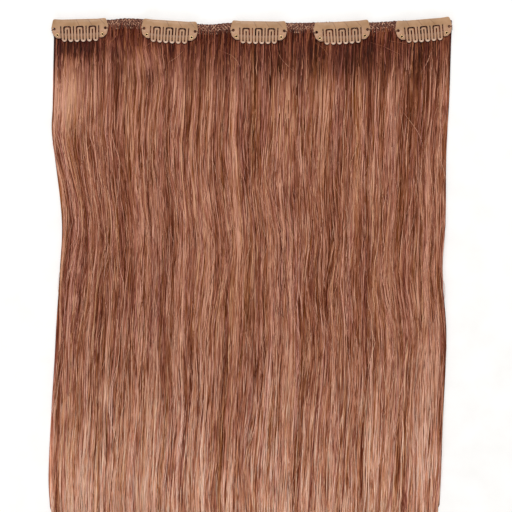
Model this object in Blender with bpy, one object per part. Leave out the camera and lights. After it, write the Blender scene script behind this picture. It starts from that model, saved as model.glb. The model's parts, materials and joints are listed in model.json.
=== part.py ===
import math

import bmesh
import bpy
from mathutils import Vector

for old in list(bpy.data.objects):
    bpy.data.objects.remove(old, do_unlink=True)

# A clip-in hair weft laid flat on a table: a curtain of hair under a stitched band,
# with snap clips along the band. +X runs along the band, +Y from the tips to the
# band, +Z up. Sizes are in metres.

# Weft
WEFT_WIDTH = 0.2235  # length of the stitched band
HAIR_LENGTH = 0.305  # from the band's top edge to the longest tips
BAND_HEIGHT = 0.0055
BAND_THICK = 0.0022
BAND_DIP = 0.0028  # how far the band's line sinks at its lowest
BAND_EDGE = 0.0005  # chamfer along the band's upper edges
HAIR_ROOT = 0.0012  # thickness where the hair leaves the band and under the clips
HAIR_LOFT = 0.0050  # thickness of the fullest lock
HAIR_TIP = 0.0016  # thickness at the ends
LOCK_GROOVE = 0.0019  # depth of the valleys between locks
SIDE_SWAY = 0.0062  # how far the side edges and locks wander
TIP_NOTCH = 0.013  # how far the gaps between the ends run up
SIDE_ROUNDING = 0.6  # thickness left at the two side edges, as a share
HAIR_FLAT = 0.0020  # the hair stays thin this far past the teeth

# Clip, a stamped comb with riveted lobes and a spring bar behind it
PLATE = 0.0005  # sheet thickness
BAR_HEIGHT = 0.0038
EAR_RISE = 0.0004  # how far the top corners stand above the bar's middle
EAR_START = 0.010  # distance from the clip's middle where the ears begin
TOOTH_LENGTH = 0.0127  # from the bar's top edge to the middle tips
TIP_RISE = 0.0004  # the outer tips end this much higher
TIP_INDRAW = 0.0002  # the outer tips lean in by this much
TOOTH_PAIRS = 3
PAIR_PITCH = 0.0071
TOOTH_WIDTH = 0.00285
LEG_WIDTH = 0.0010  # width of the strip that the teeth are folded from
PAIR_GAP = 0.00075  # open slot between the two teeth of a pair
ARCH_SLOT = 0.0008  # slot between the bar and the arch that joins a pair
LOBE_WIDTH = 0.00505
LOBE_DEPTH = 0.0106
LOBE_CORNER = 0.0012
SEW_HOLE_RADIUS = 0.0008
SPRING_BAR_HEIGHT = 0.0028  # at the middle
SPRING_BAR_SAG = 0.0007
RIVET_FLANGE_RADIUS = 0.0010
RIVET_FLANGE = 0.00025
RIVET_SHANK_RADIUS = 0.00065
RIVET_BORE_RADIUS = 0.00045
EYE_WALL = 0.0004  # metal left round a rivet hole in the spring bar
CLIP_PROUD = 0.0005  # how far a clip's top edge stands above the band's
HINGE_INSET = 0.0006  # the snap line lies this far below the bar's top edge
GAP = 0.0003  # clearance between pieces that touch

# Line of the band's top edge: share of the width, rise as a share of BAND_DIP.
BAND_LINE = [
    (0.00, -0.35), (0.08, -0.18), (0.14, -0.10), (0.185, 0.18), (0.29, -0.45), (0.39, -1.06),
    (0.44, -0.74), (0.62, -0.73), (0.70, -0.56), (0.80, -0.63), (0.88, -0.28), (1.00, -0.20),
]

# Side edges: share of the length, left and right in-draw as shares of SIDE_SWAY.
SIDES = [
    (0.00, 0.00, 0.00), (0.15, -0.13, 0.28), (0.20, -0.24, 0.42), (0.26, 0.04, 0.54),
    (0.39, 0.59, 0.58), (0.48, 0.50, 0.85), (0.60, 0.18, 0.47), (0.67, 0.04, 0.54),
    (0.90, -0.52, 1.00), (1.00, -0.30, 1.20),
]

# Thickness below the clips: share of the remaining length, share of the way to full loft.
LOFT = [(0.00, 0.00), (0.08, 0.30), (0.20, 0.66), (0.38, 0.92), (0.58, 1.00), (0.80, 0.80), (1.00, 0.45)]

# Locks from left to right: share of the width, drift at mid length and at the tips as
# shares of SIDE_SWAY, length as a share of HAIR_LENGTH, fullness as a share of the loft,
# gap between the ends as a share of TIP_NOTCH.
LOCKS = [
    (0.058, 0.10, -0.10, 0.962, 0.86, 0.80), (0.070, 0.30, -0.20, 0.985, 0.95, 0.60),
    (0.052, 0.45, 0.10, 0.970, 0.84, 1.00), (0.068, 0.25, 0.30, 0.994, 1.00, 1.20),
    (0.061, -0.05, 0.15, 0.978, 0.90, 0.65), (0.074, -0.25, -0.10, 1.000, 0.97, 0.95),
    (0.055, -0.15, -0.30, 0.983, 0.86, 1.30), (0.066, 0.10, 0.00, 0.991, 0.93, 0.70),
    (0.060, 0.30, 0.25, 0.976, 0.88, 0.55), (0.071, 0.20, 0.35, 0.998, 1.00, 1.10),
    (0.054, 0.00, 0.10, 0.980, 0.85, 0.75), (0.069, -0.25, -0.25, 0.993, 0.96, 1.25),
    (0.057, -0.20, -0.05, 0.972, 0.87, 0.60), (0.067, 0.05, 0.20, 0.988, 0.98, 0.90),
    (0.062, 0.20, 0.05, 0.966, 0.90, 1.05), (0.056, 0.05, -0.15, 0.955, 0.84, 0.70),
]

# Clips from left to right: place as a share of the half band left beside an end clip,
# height above the band's edge as a share of CLIP_PROUD, turn in degrees.
CLIPS = [
    (-1.015, 0.88, 1.5), (-0.484, 0.68, -3.6), (0.036, 1.32, -0.8), (0.520, 0.16, 3.2), (0.997, 0.80, 4.8),
]

# Lobe outline outside the long slot: share of LOBE_WIDTH, share of LOBE_DEPTH, rounding
# as a share of LOBE_CORNER.
LOBE_OUTLINE = [(1.00, 0.45, 1.3), (0.80, 0.81, 1.3), (0.40, 0.98, 0.8), (0.00, 1.00, 0.3)]
SEW_HOLE_PLACE = (0.663, 0.495)
RIVET_PLACE = (0.327, 0.825)

# Facets
LOCK_STEPS = 4
LENGTH_STEPS = 24
BAND_STEPS = 26
TIP_STEPS = 3  # per quarter turn at a tooth's end
CORNER_STEPS = 2
HOLE_SIDES = 10
RIVET_SIDES = 8
SPRING_STEPS = 8

# Widths across one clip
pairWidth = 2 * TOOTH_WIDTH + PAIR_GAP
longSlot = PAIR_PITCH - pairWidth
combHalf = PAIR_PITCH * (TOOTH_PAIRS - 1) / 2 + pairWidth / 2
lobeInner = combHalf + longSlot
clipWidth = 2 * (lobeInner + LOBE_WIDTH)
barHalf = lobeInner + LOBE_WIDTH * 0.11
rivetX = lobeInner + LOBE_WIDTH * RIVET_PLACE[0]
rivetY = -LOBE_DEPTH * RIVET_PLACE[1]
rivetHole = RIVET_SHANK_RADIUS + GAP

# Share of the hair's length that stays thin under the clips
flatShare = (TOOTH_LENGTH - BAND_HEIGHT + HAIR_FLAT) / HAIR_LENGTH

# Heights through one clip, from the hair under it to the rivet's head
footZ = HAIR_ROOT + GAP
springZ = footZ + RIVET_FLANGE + GAP
plateZ = springZ + PLATE + GAP
headZ = plateZ + PLATE + GAP


def along(table, t):
    """Smooth values of a table's columns at t, which runs down the first column."""
    rows = [table[0]] + list(table) + [table[-1]]
    k = 1
    while k < len(rows) - 3 and t > rows[k + 1][0]:
        k += 1
    before, a, b, after = rows[k - 1:k + 3]
    span = b[0] - a[0]
    s = min(max((t - a[0]) / span, 0.0), 1.0)
    values = []
    for c in range(1, len(a)):
        slope_a = (b[c] - before[c]) / max(b[0] - before[0], 1e-9) * span
        slope_b = (after[c] - a[c]) / max(after[0] - a[0], 1e-9) * span
        values.append(
            a[c] * (2 * s ** 3 - 3 * s ** 2 + 1) + slope_a * (s ** 3 - 2 * s ** 2 + s)
            + b[c] * (3 * s ** 2 - 2 * s ** 3) + slope_b * (s ** 3 - s ** 2))
    return values


def rounded(corners, steps):
    """Closed outline through (x, y, radius) corners, each rounded by an arc."""
    points = []
    count = len(corners)
    for k, (x, y, radius) in enumerate(corners):
        here = Vector((x, y))
        if radius <= 0:
            points.append(here)
            continue
        back = (Vector(corners[k - 1][:2]) - here).normalized()
        ahead = (Vector(corners[(k + 1) % count][:2]) - here).normalized()
        half = back.angle(ahead) / 2
        centre = here + (back + ahead).normalized() * radius / math.sin(half)
        start = here + back * radius / math.tan(half) - centre
        turn = back.cross(ahead)
        sweep = math.copysign(math.pi - 2 * half, turn)
        for n in range(steps + 1):
            angle = -sweep * n / steps
            spoke = Vector((
                start.x * math.cos(angle) - start.y * math.sin(angle),
                start.x * math.sin(angle) + start.y * math.cos(angle)))
            points.append(centre + spoke)
    return without_repeats(points)


def without_repeats(points):
    """The outline with neighbouring points closer than a micrometre merged."""
    kept = []
    for point in points:
        if not kept or (point - kept[-1]).length > 1e-6:
            kept.append(point)
    if (kept[0] - kept[-1]).length < 1e-6:
        kept.pop()
    return kept


def circle(x, y, radius, sides):
    turns = [2 * math.pi * k / sides for k in range(sides)]
    return [Vector((x + radius * math.cos(a), y + radius * math.sin(a))) for a in turns]


def finish(name, color, roughness, metallic):
    """Principled material with the part's colour."""
    made = bpy.data.materials.get(name) or bpy.data.materials.new(name)
    made.use_nodes = True
    shader = made.node_tree.nodes["Principled BSDF"]
    shader.inputs["Base Color"].default_value = (*color, 1.0)
    shader.inputs["Roughness"].default_value = roughness
    shader.inputs["Metallic"].default_value = metallic
    return made


def place(name, mesh, material, parent, location=(0, 0, 0)):
    mesh.materials.append(material)
    made = bpy.data.objects.new(name, mesh)
    bpy.context.collection.objects.link(made)
    made.parent = parent
    made.location = location
    return made


def new_empty(name, parent=None, location=(0, 0, 0), turn=0.0):
    made = bpy.data.objects.new(name, None)
    bpy.context.collection.objects.link(made)
    made.parent = parent
    made.location = location
    made.rotation_euler.z = turn
    return made


def plate_mesh(name, outline, holes, low, thick):
    """Flat sheet with holes, from low up to low + thick."""
    bm = bmesh.new()
    for loop in [outline] + holes:
        corners = [bm.verts.new((p[0], p[1], low)) for p in loop]
        for k, corner in enumerate(corners):
            bm.edges.new((corners[k - 1], corner))
    bmesh.ops.triangle_fill(bm, use_beauty=True, edges=bm.edges[:], normal=(0, 0, 1))
    raised = bmesh.ops.extrude_face_region(bm, geom=bm.faces[:])
    lifted = [part for part in raised["geom"] if isinstance(part, bmesh.types.BMVert)]
    bmesh.ops.translate(bm, verts=lifted, vec=(0, 0, thick))
    bmesh.ops.recalc_face_normals(bm, faces=bm.faces[:])
    mesh = bpy.data.meshes.new(name)
    bm.to_mesh(mesh)
    bm.free()
    return mesh


def turned_mesh(name, profile, sides, x, y):
    """Ring turned about Z from a closed (radius, height) profile."""
    bm = bmesh.new()
    rings = []
    for k in range(sides):
        turn = 2 * math.pi * k / sides
        rings.append([
            bm.verts.new((x + r * math.cos(turn), y + r * math.sin(turn), z)) for r, z in profile])
    for k in range(sides):
        for n in range(len(profile)):
            bm.faces.new((rings[k - 1][n - 1], rings[k][n - 1], rings[k][n], rings[k - 1][n]))
    bmesh.ops.recalc_face_normals(bm, faces=bm.faces[:])
    mesh = bpy.data.meshes.new(name)
    bm.to_mesh(mesh)
    bm.free()
    mesh.shade_smooth()
    mesh.set_sharp_from_angle(angle=math.radians(40))
    return mesh


def band_top(share):
    """Height along Y of the band's top edge at a share of its width."""
    return BAND_DIP * along(BAND_LINE, share)[0]


def bar_top(x):
    """Height of a clip's top edge above its middle, which rises at the ears."""
    ear_end = lobeInner + LOBE_WIDTH - LOBE_CORNER
    reach = max(0.0, abs(x) - EAR_START) / (ear_end - EAR_START)
    return EAR_RISE * min(reach, 1.0)


def tip_depth(x):
    return TOOTH_LENGTH - TIP_RISE * (x / combHalf) ** 2


def lean(points):
    """The teeth's points, drawn in towards the middle as they near the tips."""
    moved = []
    for point in points:
        below = max(0.0, -point.y - BAR_HEIGHT) / (TOOTH_LENGTH - BAR_HEIGHT)
        moved.append(Vector((point.x * (1 - TIP_INDRAW / combHalf * below), point.y)))
    return moved


def comb_outline():
    """Top bar with its row of round-ended teeth, read from the right end to the left."""
    stub = BAR_HEIGHT - GAP / 2
    arch_under = BAR_HEIGHT + ARCH_SLOT + LEG_WIDTH
    corners = [(-EAR_START, 0, 0), (EAR_START, 0, 0), (barHalf, bar_top(barHalf), 0), (barHalf, -stub, 0)]
    right_edge = combHalf
    corners.append((right_edge, -stub, 0))
    for tooth in range(2 * TOOTH_PAIRS):
        tip = -tip_depth(right_edge - TOOTH_WIDTH / 2)
        left_edge = right_edge - TOOTH_WIDTH
        corners += [(right_edge, tip, TOOTH_WIDTH / 2), (left_edge, tip, TOOTH_WIDTH / 2)]
        in_pair = tooth % 2 == 0
        slot = PAIR_GAP if in_pair else longSlot
        slot_top = -arch_under if in_pair else -BAR_HEIGHT
        if tooth == 2 * TOOTH_PAIRS - 1:
            break
        right_edge = left_edge - slot
        corners += [(left_edge, slot_top, slot / 2), (right_edge, slot_top, slot / 2)]
    corners += [(-combHalf, -stub, 0), (-barHalf, -stub, 0), (-barHalf, bar_top(barHalf), 0)]
    return lean(rounded(corners, TIP_STEPS))


def arch_hole(centre):
    """The slot between a pair's folded strip and the bar, shaped like a staple."""
    outer = pairWidth / 2 - LEG_WIDTH
    inner = PAIR_GAP / 2 + LEG_WIDTH
    slot = outer - inner
    foot = -tip_depth(centre) + LEG_WIDTH
    top = -BAR_HEIGHT
    arch = top - ARCH_SLOT
    corners = [
        (centre - outer, foot, slot / 2), (centre - outer, top, LEG_WIDTH),
        (centre + outer, top, LEG_WIDTH), (centre + outer, foot, slot / 2),
        (centre + inner, foot, slot / 2), (centre + inner, arch, LEG_WIDTH * 0.8),
        (centre - inner, arch, LEG_WIDTH * 0.8), (centre - inner, foot, slot / 2),
    ]
    return lean(rounded(corners, CORNER_STEPS))


def build_comb(name, seat):
    """Moving comb, with its origin on the snap line."""
    middle = (TOOTH_PAIRS - 1) / 2
    holes = [arch_hole((k - middle) * PAIR_PITCH) for k in range(TOOTH_PAIRS)]
    mesh = plate_mesh(name, comb_outline(), holes, -PLATE / 2, PLATE)
    for vertex in mesh.vertices:
        vertex.co.y += HINGE_INSET
    return place(name, mesh, lacquer, seat, (0, -HINGE_INSET, plateZ + PLATE / 2))


def build_lobe(name, side, seat):
    """End plate with its sewing hole and rivet hole; side is 1 on the right, -1 on the left."""
    start = barHalf + GAP
    tongue = -BAR_HEIGHT - GAP / 2
    ear = lobeInner + LOBE_WIDTH * 0.76
    corners = [(start, tongue, 0), (start, bar_top(start), 0), (ear, bar_top(ear), LOBE_CORNER)]
    for x, y, radius in LOBE_OUTLINE:
        corners.append((lobeInner + LOBE_WIDTH * x, -LOBE_DEPTH * y, LOBE_CORNER * radius))
    corners.append((lobeInner, tongue, GAP))
    sew_x = lobeInner + LOBE_WIDTH * SEW_HOLE_PLACE[0]
    sew_y = -LOBE_DEPTH * SEW_HOLE_PLACE[1]
    loops = [
        rounded(corners, CORNER_STEPS),
        circle(sew_x, sew_y, SEW_HOLE_RADIUS, HOLE_SIDES),
        circle(rivetX, rivetY, rivetHole, RIVET_SIDES),
    ]
    for loop in loops:
        for point in loop:
            point.x *= side
    mesh = plate_mesh(name, loops[0], loops[1:], plateZ, PLATE)
    return place(name, mesh, lacquer, seat)


def build_spring_bar(name, seat):
    """Curved bar behind the teeth, with an eye at each rivet."""
    eye = rivetHole + EYE_WALL
    upper, lower = [], []
    for k in range(SPRING_STEPS + 1):
        t = 2 * k / SPRING_STEPS - 1
        middle = rivetY - SPRING_BAR_SAG * (1 - t * t)
        half = eye + (SPRING_BAR_HEIGHT / 2 - eye) * (1 - t * t)
        upper.append(Vector((t * rivetX, middle + half)))
        lower.append(Vector((t * rivetX, middle - half)))
    turns = [math.pi * k / (2 * TIP_STEPS) for k in range(1, 2 * TIP_STEPS)]
    right_end = [Vector((rivetX + eye * math.sin(a), rivetY + eye * math.cos(a))) for a in turns]
    left_end = [Vector((-p.x, p.y)) for p in reversed(right_end)]
    outline = upper + right_end + lower[::-1] + left_end
    holes = [circle(side * rivetX, rivetY, rivetHole, RIVET_SIDES) for side in (-1, 1)]
    mesh = plate_mesh(name, without_repeats(outline), holes, springZ, PLATE)
    return place(name, mesh, lacquer, seat)


def build_rivet(name, side, seat):
    """Hollow rivet through a lobe and the spring bar behind it."""
    top = headZ + RIVET_FLANGE
    profile = [
        (RIVET_BORE_RADIUS, footZ), (RIVET_FLANGE_RADIUS, footZ),
        (RIVET_FLANGE_RADIUS, footZ + RIVET_FLANGE), (RIVET_SHANK_RADIUS, footZ + RIVET_FLANGE),
        (RIVET_SHANK_RADIUS, headZ), (RIVET_FLANGE_RADIUS, headZ),
        (RIVET_FLANGE_RADIUS, top), (RIVET_BORE_RADIUS, top),
    ]
    mesh = turned_mesh(name, profile, RIVET_SIDES, side * rivetX, rivetY)
    return place(name, mesh, brass, seat)


def build_clip(number, row, root):
    """One snap clip on the band: row gives its place, its height and its turn."""
    share, proud, degrees = row
    x = share * (WEFT_WIDTH - clipWidth) / 2
    y = band_top(x / WEFT_WIDTH + 0.5) + CLIP_PROUD * proud
    name = f"clip_{number}"
    seat = new_empty(f"{name}_seat", root, (x, y, 0), math.radians(degrees))
    build_comb(f"{name}_comb", seat)
    build_spring_bar(f"{name}_spring_bar", seat)
    for side, word in ((-1, "left"), (1, "right")):
        build_lobe(f"{name}_lobe_{word}", side, seat)
        build_rivet(f"{name}_rivet_{word}", side, seat)


def build_band(root):
    """Stitched band that the hair hangs from: a flat strip with chamfered upper edges."""
    section = [
        (0, 0), (-BAND_HEIGHT, 0), (-BAND_HEIGHT, BAND_THICK - BAND_EDGE),
        (-BAND_HEIGHT + BAND_EDGE, BAND_THICK), (-BAND_EDGE, BAND_THICK), (0, BAND_THICK - BAND_EDGE),
    ]
    bm = bmesh.new()
    rings = []
    for k in range(BAND_STEPS + 1):
        share = k / BAND_STEPS
        x = (share - 0.5) * WEFT_WIDTH
        rings.append([bm.verts.new((x, band_top(share) + y, z)) for y, z in section])
    for near, far in zip(rings, rings[1:]):
        for n in range(len(section)):
            bm.faces.new((near[n - 1], near[n], far[n], far[n - 1]))
    bm.faces.new(rings[0])
    bm.faces.new(rings[-1][::-1])
    bmesh.ops.recalc_face_normals(bm, faces=bm.faces[:])
    mesh = bpy.data.meshes.new("weft_band")
    bm.to_mesh(mesh)
    bm.free()
    return place("weft_band", mesh, woven_band, root)


def lock_columns():
    """Across the weft: share of the width, share across the lock from -1 to 1, lock row."""
    total = sum(row[0] for row in LOCKS)
    columns = []
    edge = 0.0
    for index, row in enumerate(LOCKS):
        wide = row[0] / total
        first = 0 if index == 0 else 1
        for k in range(first, LOCK_STEPS + 1):
            columns.append((edge + wide * k / LOCK_STEPS, 2 * k / LOCK_STEPS - 1, index))
        edge += wide
    return columns


def blend_locks(across, index, column):
    """A lock's value at its middle, passing to the next lock's across the groove between."""
    here = LOCKS[index][column]
    beside = min(max(index + int(math.copysign(1, across)), 0), len(LOCKS) - 1)
    return here + (LOCKS[beside][column] - here) * across * across / 2


def hair_point(share, across, index, v):
    """A point of the hair's upper face; v runs from the band to the tips."""
    root_y = band_top(share) - BAND_HEIGHT - GAP
    long = blend_locks(across, index, 3) * HAIR_LENGTH
    tip_y = -long + TIP_NOTCH * blend_locks(across, index, 5) * abs(across) ** 3
    y = root_y + (tip_y - root_y) * v
    left, right = along(SIDES, v)
    drift = blend_locks(across, index, 1) * math.sin(math.pi * v)
    drift += blend_locks(across, index, 2) * v * v
    inside = 4 * share * (1 - share)
    x = (share - 0.5) * WEFT_WIDTH + SIDE_SWAY * (left * (1 - share) - right * share + drift * inside)
    below = max(0.0, v - flatShare) / (1 - flatShare)
    grown = along(LOFT, below)[0]
    full = blend_locks(across, index, 4)
    thick = HAIR_ROOT + (HAIR_LOFT * full - HAIR_ROOT) * grown
    thick = thick * (1 - below ** 4) + HAIR_TIP * below ** 4
    valley = LOCK_GROOVE * grown * across * across * (1 - 0.5 * below ** 4)
    side_fall = 1 - (1 - SIDE_ROUNDING) * grown * abs(2 * share - 1) ** 8
    return Vector((x, y, max((thick - valley) * side_fall, HAIR_ROOT * 0.6)))


def build_hair(root):
    """Locks fused on one flat-backed curtain: a grid of locks above, the table below."""
    rows = [0.0] + [flatShare + (1 - flatShare) * k / LENGTH_STEPS for k in range(LENGTH_STEPS + 1)]
    bm = bmesh.new()
    columns = lock_columns()
    grid = [[bm.verts.new(hair_point(*column, v)) for column in columns] for v in rows]
    for near, far in zip(grid, grid[1:]):
        for k in range(len(columns) - 1):
            bm.faces.new((near[k], far[k], far[k + 1], near[k + 1]))
    rim = grid[0][:-1] + [row[-1] for row in grid[:-1]] + grid[-1][:0:-1] + [row[0] for row in grid[:0:-1]]
    floor = [bm.verts.new((corner.co.x, corner.co.y, 0)) for corner in rim]
    for k in range(len(rim)):
        bm.faces.new((rim[k - 1], rim[k], floor[k], floor[k - 1]))
    bm.faces.new(floor)
    bmesh.ops.triangulate(bm, faces=[face for face in bm.faces if len(face.verts) > 4])
    bmesh.ops.recalc_face_normals(bm, faces=bm.faces[:])
    mesh = bpy.data.meshes.new("hair")
    bm.to_mesh(mesh)
    bm.free()
    mesh.shade_smooth()
    mesh.set_sharp_from_angle(angle=math.radians(50))
    return place("hair", mesh, hair_fibre, root)


def centre_on_table(root):
    """Move the whole weft so that the middle of its box stands over the origin."""
    bpy.context.view_layer.update()
    corners = []
    for part in bpy.context.scene.objects:
        if part.type == "MESH":
            corners += [part.matrix_world @ vertex.co for vertex in part.data.vertices]
    for axis in (0, 1):
        reach = [corner[axis] for corner in corners]
        root.location[axis] = -(min(reach) + max(reach)) / 2


lacquer = finish("lacquered_spring_steel", (0.49, 0.30, 0.18), 0.38, 0.0)
brass = finish("rivet_brass", (0.56, 0.38, 0.20), 0.35, 0.8)
woven_band = finish("stitched_band", (0.24, 0.12, 0.08), 0.75, 0.0)
hair_fibre = finish("hair", (0.31, 0.14, 0.09), 0.5, 0.0)

weft = new_empty("weft_origin")
build_band(weft)
build_hair(weft)
for number, row in enumerate(CLIPS, start=1):
    build_clip(number, row, weft)
centre_on_table(weft)
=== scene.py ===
import json
import math
import random

import bmesh
import bpy
from mathutils import Matrix, Vector, noise


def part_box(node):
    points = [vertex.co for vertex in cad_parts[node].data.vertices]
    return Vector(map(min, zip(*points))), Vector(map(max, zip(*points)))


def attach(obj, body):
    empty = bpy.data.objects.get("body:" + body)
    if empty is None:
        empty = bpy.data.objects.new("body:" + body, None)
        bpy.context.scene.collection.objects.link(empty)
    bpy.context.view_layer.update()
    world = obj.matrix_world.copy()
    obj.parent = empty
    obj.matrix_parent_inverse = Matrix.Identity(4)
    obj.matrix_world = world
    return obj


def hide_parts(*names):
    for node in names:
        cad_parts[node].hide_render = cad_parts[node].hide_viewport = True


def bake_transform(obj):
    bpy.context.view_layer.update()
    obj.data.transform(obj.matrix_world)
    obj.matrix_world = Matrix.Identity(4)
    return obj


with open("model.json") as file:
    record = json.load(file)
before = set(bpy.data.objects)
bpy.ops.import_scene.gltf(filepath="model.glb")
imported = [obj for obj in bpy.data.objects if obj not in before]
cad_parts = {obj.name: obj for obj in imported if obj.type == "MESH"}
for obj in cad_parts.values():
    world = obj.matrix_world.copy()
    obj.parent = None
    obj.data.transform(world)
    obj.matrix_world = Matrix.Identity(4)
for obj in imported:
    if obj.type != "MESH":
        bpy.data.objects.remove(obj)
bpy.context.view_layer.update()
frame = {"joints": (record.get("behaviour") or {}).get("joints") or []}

mm = 0.001
scene = bpy.context.scene
weft = "weft"
maths = "ShaderNodeMath"
ease = {"interpolation_type": "SMOOTHSTEP"}
rgba = {"data_type": "RGBA"}


def linear(hexColour):
    channels = [int(hexColour[k:k + 2], 16) / 255 for k in (1, 3, 5)]
    return [c / 12.92 if c <= 0.04045 else ((c + 0.055) / 1.055) ** 2.4 for c in channels] + [1.0]


# Adds a node. An input is given a value, a socket, or a node whose first live output feeds it.
def addNode(tree, kind, settings=None, inputs=None):
    node = tree.nodes.new(kind)
    for name, value in (settings or {}).items():
        setattr(node, name, value)
    for key, value in (inputs or {}).items():
        if isinstance(key, int):
            socket = node.inputs[key]
        else:
            socket = next(s for s in node.inputs if key in (s.name, s.identifier) and s.enabled)
        if isinstance(value, bpy.types.Node):
            value = next(s for s in value.outputs if s.enabled)
        if isinstance(value, bpy.types.NodeSocket):
            tree.links.new(value, socket)
        else:
            socket.default_value = value
    return node


def newMaterial(name):
    material = bpy.data.materials.new(name)
    material.use_nodes = True
    return material, material.node_tree, material.node_tree.nodes["Principled BSDF"]


def fillRamp(ramp, stops):
    while len(ramp.color_ramp.elements) < len(stops):
        ramp.color_ramp.elements.new(0.5)
    for element, (place, colour) in zip(ramp.color_ramp.elements, stops):
        element.position = place
        element.color = linear(colour)


def newObject(name, mesh, material, cadNodes, body):
    mesh.materials.clear()
    mesh.materials.append(material)
    made = bpy.data.objects.new(name, mesh)
    scene.collection.objects.link(made)
    if body:
        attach(made, body)
    if cadNodes:
        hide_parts(*cadNodes)
    return made


# Walls between rings of corners, one ring after another, with both ends closed where capped.
def joinRings(bm, rings, capped=False):
    for near, far in zip(rings, rings[1:]):
        for n in range(len(near)):
            bm.faces.new((near[n - 1], near[n], far[n], far[n - 1]))
    if capped:
        bm.faces.new(rings[0])
        bm.faces.new(rings[-1][::-1])


# Turns the faces outwards and makes a mesh of them, shaded smooth.
def finishMesh(name, bm):
    bmesh.ops.recalc_face_normals(bm, faces=bm.faces[:])
    mesh = bpy.data.meshes.new(name)
    bm.to_mesh(mesh)
    bm.free()
    mesh.shade_smooth()
    return mesh


# the hair

hairValues = {
    "width": 223.5 * mm,
    "length": 305 * mm,
    "bandHeight": 5.5 * mm,
    "bandDip": 2.8 * mm,
    "root": 1.2 * mm,
    "loft": 5.0 * mm,
    "tip": 1.6 * mm,
    "groove": 1.9 * mm,
    "sway": 6.2 * mm,
    "notch": 13 * mm,
    "sideRounding": 0.6,
    "flatShare": 0.0302,
}

# share of the width, rise of the band's top edge as a share of its dip
bandLine = [
    (0.00, -0.35), (0.08, -0.18), (0.14, -0.10), (0.185, 0.18), (0.29, -0.45), (0.39, -1.06),
    (0.44, -0.74), (0.62, -0.73), (0.70, -0.56), (0.80, -0.63), (0.88, -0.28), (1.00, -0.20),
]

# share of the length, how far the left and right edges draw in
sides = [
    (0.00, 0.00, 0.00), (0.15, -0.13, 0.28), (0.20, -0.24, 0.42), (0.26, 0.04, 0.54),
    (0.39, 0.59, 0.58), (0.48, 0.50, 0.85), (0.60, 0.18, 0.47), (0.67, 0.04, 0.54),
    (0.90, -0.52, 1.00), (1.00, -0.30, 1.20),
]

loftLine = [(0.00, 0.00), (0.08, 0.30), (0.20, 0.66), (0.38, 0.92), (0.58, 1.00), (0.80, 0.80), (1.00, 0.45)]

# share of the width, drift at mid length and at the tips, length, fullness, gap between ends
locks = [
    (0.058, 0.10, -0.10, 0.962, 0.86, 0.80), (0.070, 0.30, -0.20, 0.985, 0.95, 0.60),
    (0.052, 0.45, 0.10, 0.970, 0.84, 1.00), (0.068, 0.25, 0.30, 0.994, 1.00, 1.20),
    (0.061, -0.05, 0.15, 0.978, 0.90, 0.65), (0.074, -0.25, -0.10, 1.000, 0.97, 0.95),
    (0.055, -0.15, -0.30, 0.983, 0.86, 1.30), (0.066, 0.10, 0.00, 0.991, 0.93, 0.70),
    (0.060, 0.30, 0.25, 0.976, 0.88, 0.55), (0.071, 0.20, 0.35, 0.998, 1.00, 1.10),
    (0.054, 0.00, 0.10, 0.980, 0.85, 0.75), (0.069, -0.25, -0.25, 0.993, 0.96, 1.25),
    (0.057, -0.20, -0.05, 0.972, 0.87, 0.60), (0.067, 0.05, 0.20, 0.988, 0.98, 0.90),
    (0.062, 0.20, 0.05, 0.966, 0.90, 1.05), (0.056, 0.05, -0.15, 0.955, 0.84, 0.70),
]

# bends in the lie of the hair: share of the width and half its reach, place down the hair
# and half its reach, shift to the right in millimetres
bends = [
    (0.24, 0.090, 0.095, 0.080, 2.6), (0.22, 0.080, 0.210, 0.120, 1.6), (0.05, 0.075, 0.360, 0.140, 3.2),
    (0.08, 0.060, 0.640, 0.120, -1.8), (0.40, 0.070, 0.450, 0.140, 2.6), (0.55, 0.065, 0.300, 0.120, -2.4),
    (0.66, 0.060, 0.600, 0.150, 2.2), (0.78, 0.050, 0.220, 0.100, 2.0), (0.88, 0.065, 0.420, 0.150, -3.0),
    (0.93, 0.060, 0.720, 0.130, -1.8), (0.30, 0.065, 0.750, 0.130, 2.2), (0.50, 0.080, 0.820, 0.120, -1.8),
]


# Smooth values of a table's columns at t, which runs down its first column.
def along(table, t):
    rows = [table[0]] + list(table) + [table[-1]]
    k = 1
    while k < len(rows) - 3 and t > rows[k + 1][0]:
        k += 1
    before, a, b, after = rows[k - 1:k + 3]
    span = b[0] - a[0]
    s = min(max((t - a[0]) / span, 0.0), 1.0)
    values = []
    for c in range(1, len(a)):
        slopeA = (b[c] - before[c]) / max(b[0] - before[0], 1e-9) * span
        slopeB = (after[c] - a[c]) / max(after[0] - a[0], 1e-9) * span
        values.append(
            a[c] * (2 * s ** 3 - 3 * s ** 2 + 1) + slopeA * (s ** 3 - 2 * s ** 2 + s)
            + b[c] * (3 * s ** 2 - 2 * s ** 3) + slopeB * (s ** 3 - s ** 2))
    return values


def bandTop(share):
    return hairValues["bandDip"] * along(bandLine, share)[0]


# The weft's own origin, in the middle of the band's top edge. The solid band is drawn in 26 lengths.
bandLengths = 26
bandLow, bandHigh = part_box("weft_band")
crest = max(bandTop(k / bandLengths) for k in range(bandLengths + 1))
weftOrigin = Vector(((bandLow[0] + bandHigh[0]) / 2, bandHigh[1] - crest, 0))


def blendLocks(across, index, column):
    here = locks[index][column]
    beside = min(max(index + (1 if across > 0 else -1), 0), len(locks) - 1)
    return here + (locks[beside][column] - here) * across * across / 2


# Place across the lock that lies at a share of the width, from -1 to 1, and the lock's number.
def lockAt(share):
    total = sum(row[0] for row in locks)
    edge = 0.0
    for index, row in enumerate(locks):
        wide = row[0] / total
        if share <= edge + wide or index == len(locks) - 1:
            return min(max(2 * (share - edge) / wide - 1, -1), 1), index
        edge += wide


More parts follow.
